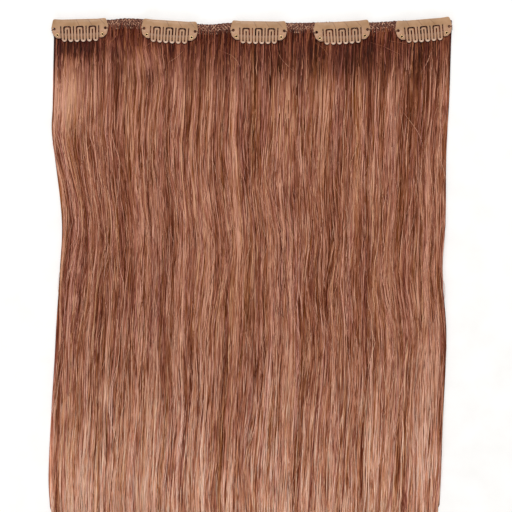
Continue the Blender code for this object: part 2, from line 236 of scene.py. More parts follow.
def bendShift(share, v):
    shift = 0.0
    for place, reach, down, length, size in bends:
        beside = max(0.0, 1 - ((share - place) / reach) ** 2)
        below = max(0.0, 1 - ((v - down) / length) ** 2)
        shift += size * mm * beside ** 2 * below ** 2
    return shift


# A point of the hair's upper face, from the weft's origin. v runs from the band to the tips.
def hairPoint(share, v, notched=1.0):
    across, index = lockAt(share)
    rootY = bandTop(share) - hairValues["bandHeight"] - 0.3 * mm
    tipY = -blendLocks(across, index, 3) * hairValues["length"]
    tipY += notched * hairValues["notch"] * blendLocks(across, index, 5) * abs(across) ** 3
    y = rootY + (tipY - rootY) * v
    left, right = along(sides, v)
    drift = blendLocks(across, index, 1) * math.sin(math.pi * v) + blendLocks(across, index, 2) * v * v
    inside = 4 * share * (1 - share)
    x = (share - 0.5) * hairValues["width"]
    x += hairValues["sway"] * (left * (1 - share) - right * share + drift * inside) + bendShift(share, v)
    below = min(max(0.0, v - hairValues["flatShare"]) / (1 - hairValues["flatShare"]), 1.0)
    grown = along(loftLine, below)[0]
    root, tip = hairValues["root"], hairValues["tip"]
    thick = root + (hairValues["loft"] * blendLocks(across, index, 4) - root) * grown
    thick = thick * (1 - below ** 4) + tip * below ** 4
    valley = hairValues["groove"] * grown * across * across * (1 - 0.5 * below ** 4)
    fall = 1 - (1 - hairValues["sideRounding"]) * grown * abs(2 * share - 1) ** 8
    return Vector((x, y, max((thick - valley) * fall, root * 0.6)))


# Patches of painted light on the hair, painted highlight where the gain is above nought and painted shade
# under the band and clips where it is below: middle x and y, half width and half height, in metres, and gain
# in tone.
paintedLightPatches = [
    (-0.103, 0.110, 0.014, 0.036, 0.50),
    (-0.090, -0.130, 0.060, 0.105, 0.10),
    (-0.096, 0.136, 0.018, 0.009, -0.34),
    (-0.059, 0.130, 0.013, 0.012, 0.34),
    (-0.060, 0.130, 0.045, 0.022, 0.08),
    (-0.099, 0.032, 0.014, 0.022, -0.10),
    (0.099, 0.108, 0.014, 0.046, -0.26),
    (0.040, 0.128, 0.075, 0.016, -0.14),
]


# Human hair, coloured brown and washed: darker at the roots, partly its own colour and partly painted shade
# under the band and clips, streaked along each strand, with patches of painted light and a satin gloss.
def hairMaterial(name, look):
    material, tree, shader = newMaterial(name)
    tone = addNode(tree, "ShaderNodeAttribute", {"attribute_name": "strandTone"})
    place = addNode(tree, "ShaderNodeAttribute", {"attribute_name": "strandPlace"})
    # streaks 0.3 mm across and some 20 mm long, drawn coarser than single hairs
    side = addNode(tree, "ShaderNodeAttribute", {"attribute_name": "strandSide"})
    offCentre = addNode(tree, "ShaderNodeCombineXYZ", None, {"X": side.outputs["Fac"]})
    exact = addNode(tree, "ShaderNodeVectorMath", {"operation": "ADD"},
                    {0: place.outputs["Vector"], 1: offCentre})
    fine = addNode(tree, "ShaderNodeVectorMath", {"operation": "MULTIPLY"}, {0: exact, 1: (3200, 48, 9)})
    streak = addNode(tree, "ShaderNodeTexNoise", None,
                     {"Vector": fine, "Scale": 1.0, "Detail": 3.0, "Roughness": 0.6})
    # broad bands of tone, 8 mm across and 90 mm long
    broad = addNode(tree, "ShaderNodeVectorMath", {"operation": "MULTIPLY"},
                    {0: place.outputs["Vector"], 1: (120, 11, 1)})
    band = addNode(tree, "ShaderNodeTexNoise", None,
                   {"Vector": broad, "Scale": 1.0, "Detail": 2.0, "Roughness": 0.5})
    streakPart = addNode(tree, maths, {"operation": "MULTIPLY_ADD"},
                         {0: streak.outputs["Fac"], 1: look["streak"], 2: -look["streak"] / 2})
    bandPart = addNode(tree, maths, {"operation": "MULTIPLY_ADD"},
                       {0: band.outputs["Fac"], 1: look["bands"], 2: -look["bands"] / 2})
    tonePart = addNode(tree, maths, {"operation": "MULTIPLY_ADD"},
                       {0: tone.outputs["Fac"], 1: look["tone"], 2: look["shift"] - look["tone"] / 2})
    both = addNode(tree, maths, {"operation": "ADD"}, {0: streakPart, 1: bandPart})
    spot = addNode(tree, "ShaderNodeTexCoord").outputs["Object"]
    # painted light: each patch lifts the tone as a highlight or lowers it as shade
    for x, y, wide, tall, gain in paintedLightPatches:
        away = addNode(tree, "ShaderNodeVectorMath", {"operation": "MULTIPLY_ADD"},
                       {0: spot, 1: (1 / wide, 1 / tall, 0), 2: (-x / wide, -y / tall, 0)})
        far = addNode(tree, "ShaderNodeVectorMath", {"operation": "LENGTH"}, {0: away})
        near = addNode(tree, "ShaderNodeMapRange", ease,
                       {"Value": far.outputs["Value"], "From Min": 0.15, "From Max": 1.0, "To Min": gain,
                        "To Max": 0.0})
        both = addNode(tree, maths, {"operation": "ADD"}, {0: both, 1: near})
    shade = addNode(tree, maths, {"operation": "ADD", "use_clamp": True}, {0: both, 1: tonePart})
    palettes = []
    for stops in (look["rootColours"], look["middleColours"], look["tipColours"]):
        ramp = addNode(tree, "ShaderNodeValToRGB", None, {"Fac": shade})
        fillRamp(ramp, [(0.05, stops[0]), (0.35, stops[1]), (0.65, stops[2]), (0.95, stops[3])])
        palettes.append(ramp.outputs["Color"])
    down = addNode(tree, "ShaderNodeSeparateXYZ", None, {0: place.outputs["Vector"]})
    # darker roots: partly the hair's own colour and partly painted shade under the band and clips
    rootEnd = addNode(tree, "ShaderNodeMapRange", ease,
                      {"Value": down.outputs["Y"], "From Min": look["rootFrom"], "From Max": look["rootTo"]})
    tipStart = addNode(tree, "ShaderNodeMapRange", ease,
                       {"Value": down.outputs["Y"], "From Min": look["tipFrom"], "From Max": look["tipTo"]})
    lower = addNode(tree, "ShaderNodeMix", rgba, {"A": palettes[0], "B": palettes[1], "Factor": rootEnd})
    colour = addNode(tree, "ShaderNodeMix", rgba, {"A": lower, "B": palettes[2], "Factor": tipStart})
    # some streaks turn to a cool mauve and others to a warm tan
    hueAt = addNode(tree, "ShaderNodeVectorMath", {"operation": "MULTIPLY"}, {0: exact, 1: (420, 10, 5)})
    hueNoise = addNode(tree, "ShaderNodeTexNoise", None, {"Vector": hueAt, "Scale": 1.0, "Detail": 2.0})
    hue = addNode(tree, "ShaderNodeMapRange", None,
                  {"Value": hueNoise.outputs["Fac"], "From Min": 0.3, "From Max": 0.7,
                   "To Min": look["hues"][0], "To Max": look["hues"][1]})
    fullness = addNode(tree, "ShaderNodeMapRange", None,
                       {"Value": hueNoise.outputs["Fac"], "From Min": 0.3, "From Max": 0.7,
                        "To Min": look["fullness"][0], "To Max": look["fullness"][1]})
    varied = addNode(tree, "ShaderNodeHueSaturation", None,
                     {"Hue": hue, "Saturation": fullness, "Color": colour.outputs[2]})
    tree.links.new(varied.outputs["Color"], shader.inputs["Base Color"])
    rough = addNode(tree, "ShaderNodeMapRange", None,
                    {"Value": streak.outputs["Fac"], "From Min": 0.3, "From Max": 0.7,
                     "To Min": look["roughness"][0], "To Max": look["roughness"][1]})
    tree.links.new(rough.outputs["Result"], shader.inputs["Roughness"])
    bump = addNode(tree, "ShaderNodeBump", None,
                   {"Strength": look["bump"], "Distance": 0.3 * mm, "Height": streak.outputs["Fac"]})
    tree.links.new(bump.outputs["Normal"], shader.inputs["Normal"])
    shader.inputs["Specular IOR Level"].default_value = look["gloss"]
    shader.inputs["Specular Tint"].default_value = linear(look["glossTint"])
    return material


hairLook = {
    "streak": 3.2,
    "bands": 0.8,
    "tone": 1.0,
    "shift": 0.50,
    "bump": 0.35,
    "rootFrom": 0.010,
    "rootTo": 0.042,
    "tipFrom": 0.15,
    "tipTo": 0.29,
    # root colours, darkened partly as painted shade under the band and clips
    "rootColours": ("#200803", "#4b2016", "#76402d", "#af7558"),
    "middleColours": ("#512510", "#90583c", "#bd8367", "#e9b799"),
    "tipColours": ("#622f1b", "#b87b5b", "#eeb492", "#ffdfc6"),
    "hues": (0.481, 0.505),
    "fullness": (0.98, 1.13),
    "roughness": (0.36, 0.52),
    "gloss": 0.28,
    "glossTint": "#ffd9c2",
}
# painted shade: the underlayer is drawn darker than the strands over it, for the shade in the gaps between
# them
matLook = dict(hairLook, shift=0.14, bump=0.5)
strandHair = hairMaterial("brown_human_hair_washed_strands", hairLook)
matHair = hairMaterial("brown_human_hair_washed_underlayer", matLook)
flyHair = hairMaterial("brown_human_hair_washed_flyaways", dict(hairLook, shift=0.72, rootTo=0.02))


# The thick of the hair: a closed mat on the table in the locks' form, ridged lengthwise.
matValues = {
    "columns": 220,
    "rows": 150,
    "sunk": 0.55 * mm,
    "end": 0.968,
    "ragged": 0.02,
    "ridge": 0.35 * mm,
    "waver": 0.5 * mm,
    "thinnest": 0.35 * mm,
    "footTone": 0.3,
}


def buildHairMat():
    columns, rows = matValues["columns"], matValues["rows"]
    bm = bmesh.new()
    toneLayer = bm.verts.layers.float.new("strandTone")
    placeLayer = bm.verts.layers.float_vector.new("strandPlace")
    grid = []
    for r in range(rows + 1):
        line = []
        for c in range(columns + 1):
            share = c / columns
            v = matValues["end"] * (r / rows) ** 1.05
            ragged = matValues["ragged"] * noise.noise(Vector((share * 90, 0, 4.1))) * (r / rows) ** 6
            point = hairPoint(share, v + ragged)
            ridge = noise.noise(Vector((share * 130 + 0.8 * v, v * 4, 0.7)))
            room = min(v / 0.10, 1.0)
            x = point.x + matValues["waver"] * noise.noise(Vector((share * 40, v * 6, 2.3))) * room
            z = point.z - matValues["sunk"] + matValues["ridge"] * ridge * (0.35 + 0.65 * room)
            corner = bm.verts.new(weftOrigin + Vector((x, point.y, max(z, matValues["thinnest"]))))
            # painted shade: the tone follows the ridges, lighter on their crests and darker in the grooves
            corner[toneLayer] = 0.5 + 0.5 * ridge
            corner[placeLayer] = Vector((share * hairValues["width"], v * hairValues["length"], 0.1))
            line.append(corner)
        grid.append(line)
    for near, far in zip(grid, grid[1:]):
        for c in range(columns):
            bm.faces.new((near[c], far[c], far[c + 1], near[c + 1]))
    leftEdge, rightEdge = [line[0] for line in grid], [line[-1] for line in grid]
    rim = grid[0][:-1] + rightEdge[:-1] + grid[-1][:0:-1] + leftEdge[:0:-1]
    under = []
    for corner in rim:
        foot = bm.verts.new((corner.co.x, corner.co.y, 0))
        foot[placeLayer] = corner[placeLayer]
        foot[toneLayer] = matValues["footTone"]
        under.append(foot)
    joinRings(bm, [rim, under])
    bm.faces.new(under)
    bmesh.ops.triangulate(bm, faces=[face for face in bm.faces if len(face.verts) > 4])
    return finishMesh("hair_mat", bm)


newObject("hair_mat", buildHairMat(), matHair, ["hair"], weft)
print("hair mat done")


# Lines that strands or stitches follow, given from the weft's origin.
def guideCurves(name, lines):
    curves = bpy.data.curves.new(name, "CURVE")
    curves.dimensions = "3D"
    for line in lines:
        spline = curves.splines.new("POLY")
        spline.points.add(len(line) - 1)
        for point, place in zip(spline.points, line):
            point.co = (*(weftOrigin + place), 1)
    made = bpy.data.objects.new(name, curves)
    scene.collection.objects.link(made)
    return made


guideCount = 129
guidePoints = 60
guideShares = [0.006 + 0.988 * k / (guideCount - 1) for k in range(guideCount)]
rootValues = {
    # over the band: place from its top edge and height, in millimetres
    "arch": [(-0.8, 1.2), (-1.8, 1.6), (-3.0, 2.15), (-4.6, 2.25), (-6.2, 1.75)],
    "steps": 14,
    "from": 0.012,
    "reach": 0.2,
    "lift": 0.1 * mm,
}


# A line on the locks' face, from the band to the tips.
def hangingGuide(share):
    return [hairPoint(share, 1.01 * k / (guidePoints - 1), 0.35) for k in range(guidePoints)]


# A short line for the hair that is sewn in over the band and comes out at its lower edge.
def rootGuide(share):
    top = bandTop(share)
    x = (share - 0.5) * hairValues["width"]
    line = [Vector((x, top + y * mm, z * mm)) for y, z in rootValues["arch"]]
    for k in range(rootValues["steps"] + 1):
        v = rootValues["from"] + rootValues["reach"] * k / rootValues["steps"]
        line.append(hairPoint(share, v) + Vector((0, 0, rootValues["lift"])))
    return line


hangingGuides = guideCurves("hanging_guides", [hangingGuide(share) for share in guideShares])
rootGuides = guideCurves("root_guides", [rootGuide(share) for share in guideShares])


# A geometry tree with its named inputs, listed by the kind of socket.
def newTree(name, inputs):
    tree = bpy.data.node_groups.new(name, "GeometryNodeTree")
    for kind, names in inputs.items():
        for inputName in names:
            tree.interface.new_socket(inputName, in_out="INPUT", socket_type="NodeSocket" + kind)
    tree.interface.new_socket("Geometry", in_out="OUTPUT", socket_type="NodeSocketGeometry")
    return tree, addNode(tree, "NodeGroupInput").outputs


# Strands laid between the guide lines, gathered in clumps that wave together.
def buildStrandTree():
    tree, given = newTree("LayStrands", {
        "Object": ["Guides"],
        "Int": ["Guide Count", "Count", "Points", "Sides", "Seed", "Clumps"],
        "Float": ["Width", "Thickness", "Lift Low", "Lift High", "Clump Pull", "Shared Wave", "Own Wave",
                  "Start Low", "Start High", "End Low", "End High", "Dive", "Length", "Across"],
        "Material": ["Material"],
    })

    line = addNode(tree, "GeometryNodeMeshLine", None, {"Count": given["Count"], "Offset": (0, 0, 0)})
    straight = addNode(tree, "GeometryNodeCurvePrimitiveLine")
    cut = addNode(tree, "GeometryNodeResampleCurve", None, {"Curve": straight, "Count": given["Points"]})
    spread = addNode(tree, "GeometryNodeInstanceOnPoints", None, {"Points": line, "Instance": cut})
    loose = addNode(tree, "GeometryNodeRealizeInstances", None, {"Geometry": spread})

    index = addNode(tree, "GeometryNodeInputIndex")
    strand = addNode(tree, "GeometryNodeFieldOnDomain", {"domain": "CURVE", "data_type": "INT"}, {0: index})
    chances = []
    for k in range(7):
        seed = addNode(tree, maths, {"operation": "ADD"}, {0: given["Seed"], 1: float(31 * k)})
        chances.append(addNode(tree, "FunctionNodeRandomValue", None, {"ID": strand, "Seed": seed}))

    # place across, pulled to the clump's middle further down
    counted = addNode(tree, maths, {"operation": "ADD"}, {0: strand, 1: chances[0]})
    u = addNode(tree, maths, {"operation": "DIVIDE"}, {0: counted, 1: given["Count"]})
    inClumps = addNode(tree, maths, {"operation": "MULTIPLY"}, {0: u, 1: given["Clumps"]})
    clump = addNode(tree, maths, {"operation": "FLOOR"}, {0: inClumps})
    clumpChance = addNode(tree, "FunctionNodeRandomValue", None, {"ID": clump, "Seed": given["Seed"]})
    clumpTone = addNode(tree, "FunctionNodeRandomValue", None, {"ID": clump, "Seed": 77})
    middle = addNode(tree, maths, {"operation": "MULTIPLY_ADD"}, {0: clumpChance, 1: 0.7, 2: 0.15})
    middle = addNode(tree, maths, {"operation": "ADD"}, {0: clump, 1: middle})
    middle = addNode(tree, maths, {"operation": "DIVIDE"}, {0: middle, 1: given["Clumps"]})

    t = addNode(tree, "GeometryNodeSplineParameter").outputs["Factor"]
    start = addNode(tree, "ShaderNodeMix", None,
                    {"Factor": chances[1], "A": given["Start Low"], "B": given["Start High"]})
    end = addNode(tree, "ShaderNodeMix", None,
                  {"Factor": chances[2], "A": given["End Low"], "B": given["End High"]})
    v = addNode(tree, "ShaderNodeMix", None, {"Factor": t, "A": start, "B": end})

    gather = addNode(tree, "ShaderNodeMapRange", ease, {"Value": v, "From Min": 0.03, "From Max": 0.45})
    pull = addNode(tree, maths, {"operation": "MULTIPLY"}, {0: gather, 1: given["Clump Pull"]})
    place = addNode(tree, "ShaderNodeMix", None, {"Factor": pull, "A": u, "B": middle})

    last = addNode(tree, maths, {"operation": "SUBTRACT"}, {0: given["Guide Count"], 1: 1.001})
    onGuides = addNode(tree, maths, {"operation": "MULTIPLY"}, {0: place, 1: last})
    first = addNode(tree, maths, {"operation": "FLOOR"}, {0: onGuides})
    second = addNode(tree, maths, {"operation": "ADD"}, {0: first, 1: 1.0})
    between = addNode(tree, maths, {"operation": "FRACT"}, {0: onGuides})
    lines = addNode(tree, "GeometryNodeObjectInfo", None, {"Object": given["Guides"]}).outputs["Geometry"]
    ends = []
    for number in (first, second):
        ends.append(addNode(tree, "GeometryNodeSampleCurve", None,
                            {"Curves": lines, "Factor": v, "Curve Index": number}).outputs["Position"])
    onSurface = addNode(tree, "ShaderNodeMix", {"data_type": "VECTOR"},
                        {"Factor": between, "A": ends[0], "B": ends[1]})
    apart = addNode(tree, "ShaderNodeSeparateXYZ", None, {0: onSurface.outputs[1]})

    # waves: one that the neighbours share, one of the strand's own
    sharedAt = addNode(tree, "ShaderNodeCombineXYZ", None, {
        "X": addNode(tree, maths, {"operation": "MULTIPLY"}, {0: place, 1: 34.0}),
        "Y": addNode(tree, maths, {"operation": "MULTIPLY"}, {0: v, 1: 5.5}),
        "Z": 3.7})
    shared = addNode(tree, "ShaderNodeTexNoise", None, {"Vector": sharedAt, "Scale": 1.0, "Detail": 1.0})
    ownAt = addNode(tree, "ShaderNodeCombineXYZ", None, {
        "X": addNode(tree, maths, {"operation": "MULTIPLY"}, {0: chances[3], 1: 90.0}),
        "Y": addNode(tree, maths, {"operation": "MULTIPLY"}, {0: v, 1: 9.0}),
        "Z": 1.3})
    own = addNode(tree, "ShaderNodeTexNoise", None, {"Vector": ownAt, "Scale": 1.0, "Detail": 2.0})
    sway = addNode(tree, maths, {"operation": "MULTIPLY_ADD"}, {0: shared.outputs["Fac"], 1: 2.0, 2: -1.0})
    sway = addNode(tree, maths, {"operation": "MULTIPLY"}, {0: sway, 1: given["Shared Wave"]})
    stray = addNode(tree, maths, {"operation": "MULTIPLY_ADD"}, {0: own.outputs["Fac"], 1: 2.0, 2: -1.0})
    stray = addNode(tree, maths, {"operation": "MULTIPLY"}, {0: stray, 1: given["Own Wave"]})
    aside = addNode(tree, maths, {"operation": "ADD"}, {0: sway, 1: stray})
    free = addNode(tree, "ShaderNodeMapRange", ease, {"Value": v, "From Min": 0.0, "From Max": 0.22})
    aside = addNode(tree, maths, {"operation": "MULTIPLY"}, {0: aside, 1: free})
    newX = addNode(tree, maths, {"operation": "ADD"}, {0: apart.outputs["X"], 1: aside})

    # height: low under the clips and at the ends, and a strand that starts late comes up from below
    lift = addNode(tree, "ShaderNodeMix", None,
                   {"Factor": chances[4], "A": given["Lift Low"], "B": given["Lift High"]})
    rise = addNode(tree, "ShaderNodeMapRange", ease,
                   {"Value": v, "From Min": 0.03, "From Max": 0.12, "To Min": 0.3})
    lift = addNode(tree, maths, {"operation": "MULTIPLY"}, {0: lift, 1: rise})
    up = addNode(tree, "ShaderNodeMapRange", ease,
                 {"Value": t, "From Min": 0.0, "From Max": 0.14, "To Min": 1.0, "To Max": 0.0})
    sunk = addNode(tree, maths, {"operation": "MULTIPLY"}, {0: up, 1: given["Dive"]})
    drop = addNode(tree, "ShaderNodeMapRange", ease,
                   {"Value": v, "From Min": 0.90, "From Max": 1.0, "To Min": 1.0, "To Max": 0.3})
    newZ = addNode(tree, maths, {"operation": "ADD"}, {0: apart.outputs["Z"], 1: lift})
    newZ = addNode(tree, maths, {"operation": "SUBTRACT"}, {0: newZ, 1: sunk})
    newZ = addNode(tree, maths, {"operation": "MULTIPLY"}, {0: newZ, 1: drop})
    newZ = addNode(tree, maths, {"operation": "MAXIMUM"}, {0: newZ, 1: 0.4 * mm})
    where = addNode(tree, "ShaderNodeCombineXYZ", None, {"X": newX, "Y": apart.outputs["Y"], "Z": newZ})
    laid = addNode(tree, "GeometryNodeSetPosition", None, {"Geometry": loose, "Position": where})

    tone = addNode(tree, "ShaderNodeMix", None, {"Factor": 0.5, "A": clumpTone, "B": chances[5]})
    toned = addNode(tree, "GeometryNodeStoreNamedAttribute", None,
                    {"Geometry": laid, "Name": "strandTone", "Value": tone})
    mapPlace = addNode(tree, "ShaderNodeCombineXYZ", None, {
        "X": addNode(tree, maths, {"operation": "MULTIPLY"}, {0: place, 1: given["Across"]}),
        "Y": addNode(tree, maths, {"operation": "MULTIPLY"}, {0: v, 1: given["Length"]}),
        "Z": chances[5]})
    mapped = addNode(tree, "GeometryNodeStoreNamedAttribute", {"data_type": "FLOAT_VECTOR"},
                     {"Geometry": toned, "Name": "strandPlace", "Value": mapPlace})
    level = addNode(tree, "GeometryNodeSetCurveNormal", {"mode": "Z_UP"}, {"Curve": mapped})

    ring = addNode(tree, "GeometryNodeCurvePrimitiveCircle", None,
                   {"Resolution": given["Sides"], "Radius": 1.0})
    turned = addNode(tree, "GeometryNodeTransform", None,
                     {"Geometry": ring, "Rotation": (0, 0, math.pi / 2)})
    half = addNode(tree, "ShaderNodeVectorMath", {"operation": "SCALE"}, {
        0: addNode(tree, "ShaderNodeCombineXYZ", None,
                   {"X": given["Width"], "Y": given["Thickness"], "Z": 1.0}), "Scale": 0.5})
    flat = addNode(tree, "GeometryNodeTransform", None, {"Geometry": turned, "Scale": half})
    spot = addNode(tree, "ShaderNodeSeparateXYZ", None, {0: addNode(tree, "GeometryNodeInputPosition")})
    flat = addNode(tree, "GeometryNodeStoreNamedAttribute", None,
                   {"Geometry": flat, "Name": "strandSide", "Value": spot.outputs["X"]})
    point = addNode(tree, "ShaderNodeMapRange", ease,
                    {"Value": t, "From Min": 0.90, "From Max": 1.0, "To Min": 1.0, "To Max": 0.15})
    thin = addNode(tree, "ShaderNodeMapRange", ease,
                   {"Value": t, "From Min": 0.0, "From Max": 0.08, "To Min": 0.35, "To Max": 1.0})
    size = addNode(tree, maths, {"operation": "MULTIPLY_ADD"}, {0: chances[6], 1: 0.8, 2: 0.6})
    size = addNode(tree, maths, {"operation": "MULTIPLY"}, {0: size, 1: point})
    size = addNode(tree, maths, {"operation": "MULTIPLY"}, {0: size, 1: thin})
    solid = addNode(tree, "GeometryNodeCurveToMesh", None,
                    {"Curve": level, "Profile Curve": flat, "Scale": size, "Fill Caps": True})
    smooth = addNode(tree, "GeometryNodeSetShadeSmooth", None, {"Geometry": solid})
    real = addNode(tree, "GeometryNodeRealizeInstances", None, {"Geometry": smooth})
    coloured = addNode(tree, "GeometryNodeSetMaterial", None,
                       {"Geometry": real, "Material": given["Material"]})
    addNode(tree, "NodeGroupOutput", None, {"Geometry": coloured})
    return tree


# Runs a node tree once on an empty object and keeps what it makes as a plain mesh.
def meshFromTree(name, tree, values):
    holder = bpy.data.objects.new(name + "_holder", bpy.data.meshes.new(name + "_holder"))
    scene.collection.objects.link(holder)
    modifier = holder.modifiers.new("made", "NODES")
    modifier.node_group = tree
    for item in tree.interface.items_tree:
        if item.in_out == "INPUT" and item.name in values:
            modifier[item.identifier] = values[item.name]
    holder.update_tag()
    graph = bpy.context.evaluated_depsgraph_get()
    graph.update()
    mesh = bpy.data.meshes.new_from_object(holder.evaluated_get(graph), depsgraph=graph)
    holder.modifiers.remove(modifier)
    bpy.data.objects.remove(holder)
    mesh.name = name
    return mesh


strandTree = buildStrandTree()
strandBase = {
    "Guides": hangingGuides, "Guide Count": guideCount, "Sides": 3, "Shared Wave": 2.2 * mm,
    "Start Low": 0.0, "Start High": 0.0, "End High": 1.0, "Dive": 0.0,
    "Length": hairValues["length"], "Across": hairValues["width"], "Material": strandHair,
}
strandLayers = {
    "hair_wisps": {
        "Count": 520, "Points": 26, "Seed": 5, "Width": 1.5 * mm, "Thickness": 0.6 * mm,
        "Lift Low": -0.55 * mm, "Lift High": 0.05 * mm, "Clumps": 90, "Clump Pull": 0.30,
        "Own Wave": 1.2 * mm, "End Low": 0.965,
    },
    "hair_strands": {
        "Count": 1350, "Points": 22, "Seed": 11, "Width": 0.62 * mm, "Thickness": 0.36 * mm,
        "Lift Low": -0.35 * mm, "Lift High": 0.35 * mm, "Clumps": 120, "Clump Pull": 0.62,
        "Own Wave": 2.2 * mm, "End Low": 0.96,
    },
    "hair_fine": {
        "Count": 1500, "Points": 20, "Seed": 23, "Width": 0.40 * mm, "Thickness": 0.24 * mm,
        "Lift Low": -0.15 * mm, "Lift High": 0.55 * mm, "Clumps": 150, "Clump Pull": 0.60,
        "Own Wave": 2.2 * mm, "End Low": 0.92,
    },
    "hair_surface": {
        "Count": 1500, "Points": 18, "Seed": 29, "Width": 0.34 * mm, "Thickness": 0.22 * mm,
        "Lift Low": 0.0, "Lift High": 0.75 * mm, "Clumps": 190, "Clump Pull": 0.5,
        "Own Wave": 3.0 * mm, "Start High": 0.55, "End Low": 0.45, "Dive": 0.8 * mm,
    },
    "hair_flyaways": {
        "Count": 150, "Points": 30, "Seed": 37, "Width": 0.18 * mm, "Thickness": 0.14 * mm,
        "Lift Low": 0.5 * mm, "Lift High": 1.6 * mm, "Clumps": 40, "Clump Pull": 0.0,
        "Own Wave": 8.0 * mm, "Start Low": 0.02, "Start High": 0.3, "End Low": 0.5, "Dive": 1.2 * mm,
        "Material": flyHair,
    },
    "hair_roots": {
        "Guides": rootGuides, "Count": 1300, "Points": 13, "Seed": 41, "Width": 0.46 * mm,
        "Thickness": 0.26 * mm, "Lift Low": -0.1 * mm, "Lift High": 0.2 * mm, "Clumps": 220,
        "Clump Pull": 0.5, "Shared Wave": 0.4 * mm, "Own Wave": 1.2 * mm, "Start High": 0.12,
        "End Low": 0.35, "Length": 68 * mm,
    },
}
for name, values in strandLayers.items():
    given = dict(strandBase, **values)
    mesh = meshFromTree(name, strandTree, given)
    newObject(name, mesh, given["Material"], [], weft)
    print(name, len(mesh.polygons), "faces")
for guides in (hangingGuides, rootGuides):
    bpy.data.objects.remove(guides)


# Stray hairs that lie across the others in the upper third: share and place down at both ends,
# and a bow to the right in millimetres.
strays = [
    (0.794, 0.018, 0.880, 0.050, 2.0), (0.128, 0.030, 0.160, 0.008, 1.2), (0.842, 0.016, 0.905, 0.028, -2.5),
    (0.330, 0.022, 0.285, 0.060, 3.0), (0.560, 0.020, 0.610, 0.075, -3.0), (0.690, 0.050, 0.655, 0.018, 2.2),
    (0.415, 0.030, 0.470, 0.066, 2.6), (0.215, 0.046, 0.262, 0.018, -1.8), (0.955, 0.030, 0.925, 0.085, 0.9),
    (0.030, 0.060, 0.058, 0.120, -3.2), (0.880, 0.160, 0.940, 0.240, 3.4),
    (0.105, 0.210, 0.060, 0.300, -3.0),
]


# radius and heights in millimetres
strayValues = {
    "steps": 24,
    "radius": 0.11,
    "endHeight": 0.25,
    "archHeight": 0.75,
    "thinEnd": 0.25,
    "tone": 0.8,
}


def buildStrays():
    bm = bmesh.new()
    toneLayer = bm.verts.layers.float.new("strandTone")
    placeLayer = bm.verts.layers.float_vector.new("strandPlace")
    steps, thinEnd = strayValues["steps"], strayValues["thinEnd"]
    for number, (shareA, vA, shareB, vB, bow) in enumerate(strays):
        points = []
        for k in range(steps + 1):
            t = k / steps
            share, v = shareA + (shareB - shareA) * t, vA + (vB - vA) * t
            arch = math.sin(math.pi * t)
            height = strayValues["endHeight"] + strayValues["archHeight"] * arch ** 0.5
            point = hairPoint(share, v) + Vector((bow * mm * arch, 0, height * mm))
            points.append((weftOrigin + point, share, v))
        rings = []
        for k, (point, share, v) in enumerate(points):
            ahead = (points[min(k + 1, steps)][0] - points[max(k - 1, 0)][0]).normalized()
            flat = ahead.cross(Vector((0, 0, 1))).normalized()
            over = ahead.cross(flat)
            grown = thinEnd + (1 - thinEnd) * math.sin(math.pi * min(k, steps - k) / steps)
            radius = strayValues["radius"] * mm * grown
            ring = []
            for n in range(4):
                turn = math.pi / 2 * n
                corner = bm.verts.new(point + (flat * math.cos(turn) + over * math.sin(turn)) * radius)
                corner[toneLayer] = strayValues["tone"]
                u = share * hairValues["width"]
                corner[placeLayer] = Vector((u, v * hairValues["length"], 0.1 * number))
                ring.append(corner)
            rings.append(ring)
        joinRings(bm, rings, capped=True)
    return finishMesh("hair_strays", bm)


newObject("hair_strays", buildStrays(), flyHair, [], weft)
print("stray hairs done")


# the band

bandValues = {
    "steps": 220,
    "weave": 0.12 * mm,
    "weavePitch": 1.1 * mm,
    # place from the top edge and height, in millimetres
    "section": [(0.0, 0.0), (-5.5, 0.0), (-5.55, 0.8), (-5.2, 1.35), (-4.4, 1.6), (-2.8, 1.7),
                (-1.2, 1.65), (-0.55, 1.75), (-0.15, 1.5), (0.0, 0.9)],
}


# Woven polyester sewing tape under cotton thread: matt, with dark gaps between the threads that are painted
# shade.
def threadMaterial(name, colours, pitch, rough):
    material, tree, shader = newMaterial(name)
    spot = addNode(tree, "ShaderNodeTexCoord").outputs["Object"]
    # twisted threads, drawn at the pitch of the stitches
    twist = addNode(tree, "ShaderNodeTexNoise", None,
                    {"Vector": spot, "Scale": 1 / pitch, "Detail": 3.0, "Roughness": 0.65})
    own = addNode(tree, "ShaderNodeAttribute", {"attribute_name": "threadTone"})
    tone = addNode(tree, maths, {"operation": "MULTIPLY_ADD"},
                   {0: own.outputs["Fac"], 1: 0.2, 2: twist.outputs["Fac"]})
    ramp = addNode(tree, "ShaderNodeValToRGB", None, {"Fac": tone})
    fillRamp(ramp, [(0.30, colours[0]), (0.50, colours[1]), (0.70, colours[2])])
    tree.links.new(ramp.outputs["Color"], shader.inputs["Base Color"])
    ply = addNode(tree, "ShaderNodeTexWave", {"wave_type": "BANDS", "bands_direction": "DIAGONAL"},
                  {"Vector": spot, "Scale": 1.2 / pitch, "Distortion": 3.0, "Detail": 1.0})
    bump = addNode(tree, "ShaderNodeBump", None,
                   {"Strength": 0.5, "Distance": 0.1 * mm, "Height": ply.outputs["Fac"]})
    tree.links.new(bump.outputs["Normal"], shader.inputs["Normal"])
    shader.inputs["Roughness"].default_value = rough
    shader.inputs["Sheen Weight"].default_value = 0.15
    return material


# colours from dark to pale, pitch of the threads, roughness
threadLooks = {
    # the tape's brown is drawn near black as painted shade in the gaps between the stitches
    "polyester_weft_tape_woven": (("#240a04", "#502617", "#7a4733"), 0.9 * mm, 0.8),
    "polyester_seam_thread_brown": (("#4a2113", "#74412a", "#9c694f"), 0.5 * mm, 0.6),
    "cotton_sewing_thread_twisted": (("#5c2a18", "#a66c50", "#dcaa8b"), 0.7 * mm, 0.65),
}
threads = [threadMaterial(name, *look) for name, look in threadLooks.items()]
tapeMaterial, seamMaterial, stitchMaterial = threads


